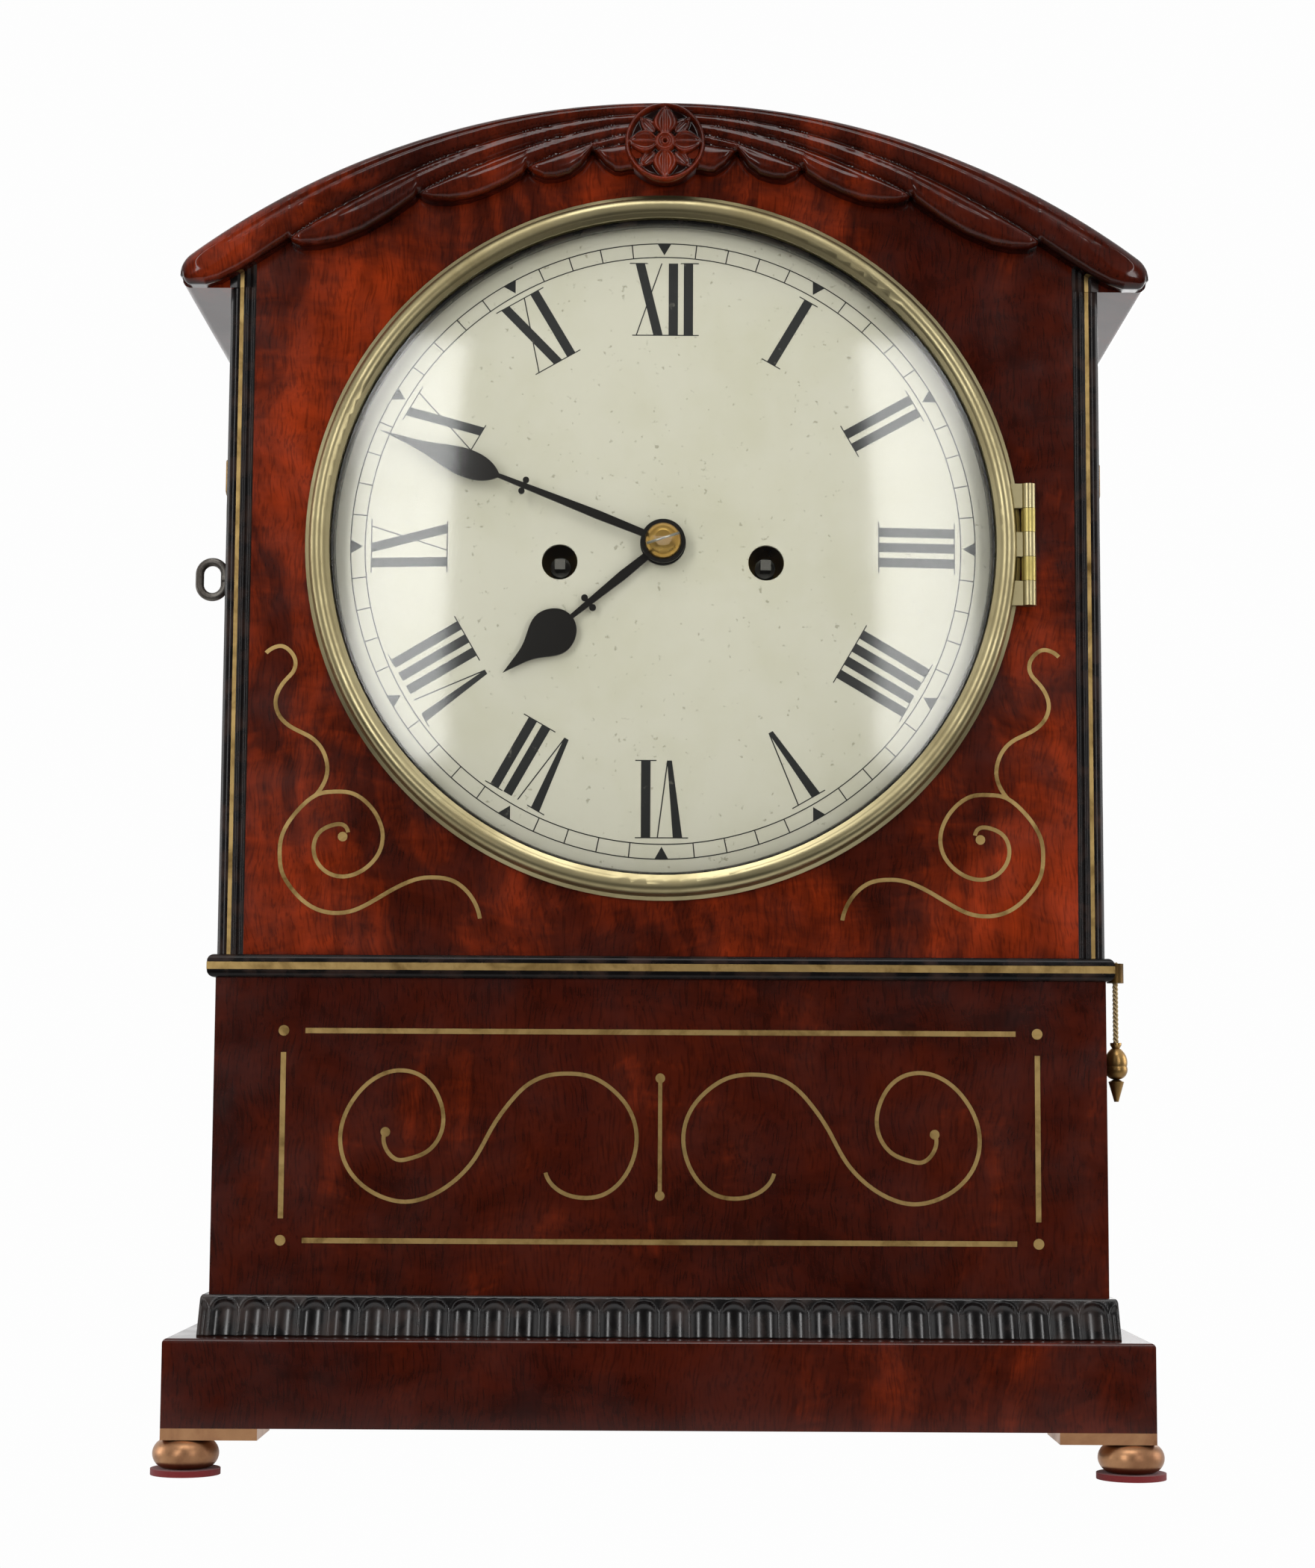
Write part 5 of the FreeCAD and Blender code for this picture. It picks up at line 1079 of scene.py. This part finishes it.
# Each lamp's name, place, target, width, height and power.
SOFTBOXES = [
    ("left_box", (-0.6, -1.25, 0.5), (-0.02, 0, 0.27), 0.22, 1.05, 6.6),
    ("right_box", (0.6, -1.25, 0.5), (0.02, 0, 0.27), 0.22, 1.05, 5.8),
    ("top_box", (0, -0.7, 1.4), (0, 0, 0.3), 1.0, 0.6, 7),
    ("left_side_box", (-1.6, 0.1, 0.4), (0, 0, 0.22), 0.6, 1.0, 8),
    ("right_side_box", (1.6, 0.1, 0.4), (0, 0, 0.22), 0.6, 1.0, 8),
    ("back_box", (0.3, 1.5, 0.7), (0, 0, 0.2), 1.2, 0.8, 8),
]
CAMERA_PLACE = (-0.0013, -0.9701, 0.109)
CAMERA_TILT = math.radians(96.2)
CAMERA_ROLL = math.radians(0.3)
CAMERA_LENS = 80.75
CAMERA_SENSOR = 36


def softbox(name, place, target, width, height, power):
    """A white area lamp aimed at a target; sizes in metres."""
    light = bpy.data.lights.new(name, "AREA")
    light.shape = "RECTANGLE"
    light.size, light.size_y = width, height
    light.energy = power
    lamp = bpy.data.objects.new(name, light)
    lamp.location = place
    lamp.rotation_euler = (Vector(target) - Vector(place)).to_track_quat("-Z", "Y").to_euler()
    bpy.context.scene.collection.objects.link(lamp)
    return lamp


def studio_shader(tree, output, lit, along_y, dark_from, dark_to):
    """White to the camera and in reflections, but dark in front, where the camera stands."""
    path = tree.nodes.new("ShaderNodeLightPath")
    front = put(tree, "ShaderNodeMapRange", {
        "Value": along_y, "From Min": dark_from, "From Max": dark_to,
        "To Min": STUDIO_WHITE, "To Max": STUDIO_DARK,
    }, interpolation_type="SMOOTHSTEP").outputs[0]
    white = put(tree, "ShaderNodeEmission", {"Color": grey(STUDIO_WHITE)}).outputs[0]
    mirrored = put(tree, "ShaderNodeEmission", {"Color": grey(1.0), "Strength": front}).outputs[0]
    glossy = path.outputs["Is Glossy Ray"]
    inner = put(tree, "ShaderNodeMixShader", {0: glossy, 1: lit, 2: mirrored}).outputs[0]
    shown = maths(tree, "MAXIMUM", path.outputs["Is Camera Ray"], path.outputs["Is Transmission Ray"])
    mix = put(tree, "ShaderNodeMixShader", {0: shown, 1: inner, 2: white})
    tree.links.new(mix.outputs[0], output.inputs["Surface"])


def y_of(tree, coordinates):
    """The y of a kind of texture coordinate."""
    vector = tree.nodes.new("ShaderNodeTexCoord").outputs[coordinates]
    return put(tree, "ShaderNodeSeparateXYZ", {0: vector}).outputs[1]


class CLOCK_OT_stage(bpy.types.Operator):
    """Sets the white studio, its lights and the camera"""

    bl_idname = "clock.stage"
    bl_label = "Studio"

    def execute(self, context):
        scene = context.scene
        scene.view_settings.view_transform = "Standard"
        world = bpy.data.worlds.new("studio")
        scene.world = world
        world.use_nodes = True
        tree = world.node_tree
        tree.nodes.clear()
        output = tree.nodes.new("ShaderNodeOutputWorld")
        lit = put(tree, "ShaderNodeBackground", {"Color": grey(1.0), "Strength": WORLD_STRENGTH}).outputs[0]
        studio_shader(tree, output, lit, y_of(tree, "Generated"), -0.3, -0.8)

        builder = bmesh.new()
        builder.faces.new([
            builder.verts.new((x * FLOOR_REACH, y * FLOOR_REACH, FLOOR_Z))
            for x, y in ((-1, -1), (1, -1), (1, 1), (-1, 1))
        ])
        material, tree, output = new_material("studio_floor")
        lit = put(tree, "ShaderNodeBsdfDiffuse", {"Color": grey(0.85)}).outputs[0]
        studio_shader(tree, output, lit, y_of(tree, "Object"), -0.16, -0.3)
        for vertex in builder.verts:
            vertex.co *= MM
        mesh = bpy.data.meshes.new("studio_floor")
        builder.to_mesh(mesh)
        builder.free()
        mesh.materials.append(material)
        floor = bpy.data.objects.new("studio_floor", mesh)
        scene.collection.objects.link(floor)

        for row in SOFTBOXES:
            softbox(*row)

        camera = bpy.data.cameras.new("camera")
        camera.sensor_fit = "HORIZONTAL"
        camera.sensor_width = CAMERA_SENSOR
        camera.lens = CAMERA_LENS
        camera.clip_start, camera.clip_end = 0.01, 20
        view = bpy.data.objects.new("camera", camera)
        view.matrix_world = (
            Matrix.Translation(CAMERA_PLACE)
            @ Matrix.Rotation(CAMERA_TILT, 4, "X")
            @ Matrix.Rotation(CAMERA_ROLL, 4, "Z")
        )
        scene.collection.objects.link(view)
        scene.camera = view
        return {"FINISHED"}


OPERATORS = [
    CLOCK_OT_case, CLOCK_OT_crest, CLOCK_OT_brass, CLOCK_OT_dial, CLOCK_OT_hands, CLOCK_OT_movement,
    CLOCK_OT_glass, CLOCK_OT_cord, CLOCK_OT_stage,
]


class CLOCK_PT_panel(bpy.types.Panel):
    """Lists the clock's pieces and their settings"""

    bl_idname = "CLOCK_PT_panel"
    bl_label = "Bracket clock"
    bl_space_type = "VIEW_3D"
    bl_region_type = "UI"
    bl_category = "Clock"

    def draw(self, context):
        layout = self.layout
        for settings in (context.scene.clock_case, context.scene.clock_dial):
            for name in settings.__annotations__:
                layout.prop(settings, name)
        for operator in OPERATORS:
            layout.operator(operator.bl_idname)


CLASSES = [ClockCaseSettings, ClockDialSettings, *OPERATORS, CLOCK_PT_panel]


def register():
    for item in CLASSES:
        bpy.utils.register_class(item)
    bpy.types.Scene.clock_case = bpy.props.PointerProperty(type=ClockCaseSettings)
    bpy.types.Scene.clock_dial = bpy.props.PointerProperty(type=ClockDialSettings)


def unregister():
    del bpy.types.Scene.clock_dial
    del bpy.types.Scene.clock_case
    for item in reversed(CLASSES):
        bpy.utils.unregister_class(item)


def main():
    """Registers the add-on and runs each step."""
    register()
    for operator in OPERATORS:
        group, name = operator.bl_idname.split(".")
        getattr(getattr(bpy.ops, group), name)()
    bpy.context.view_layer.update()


if __name__ == "__main__":
    main()
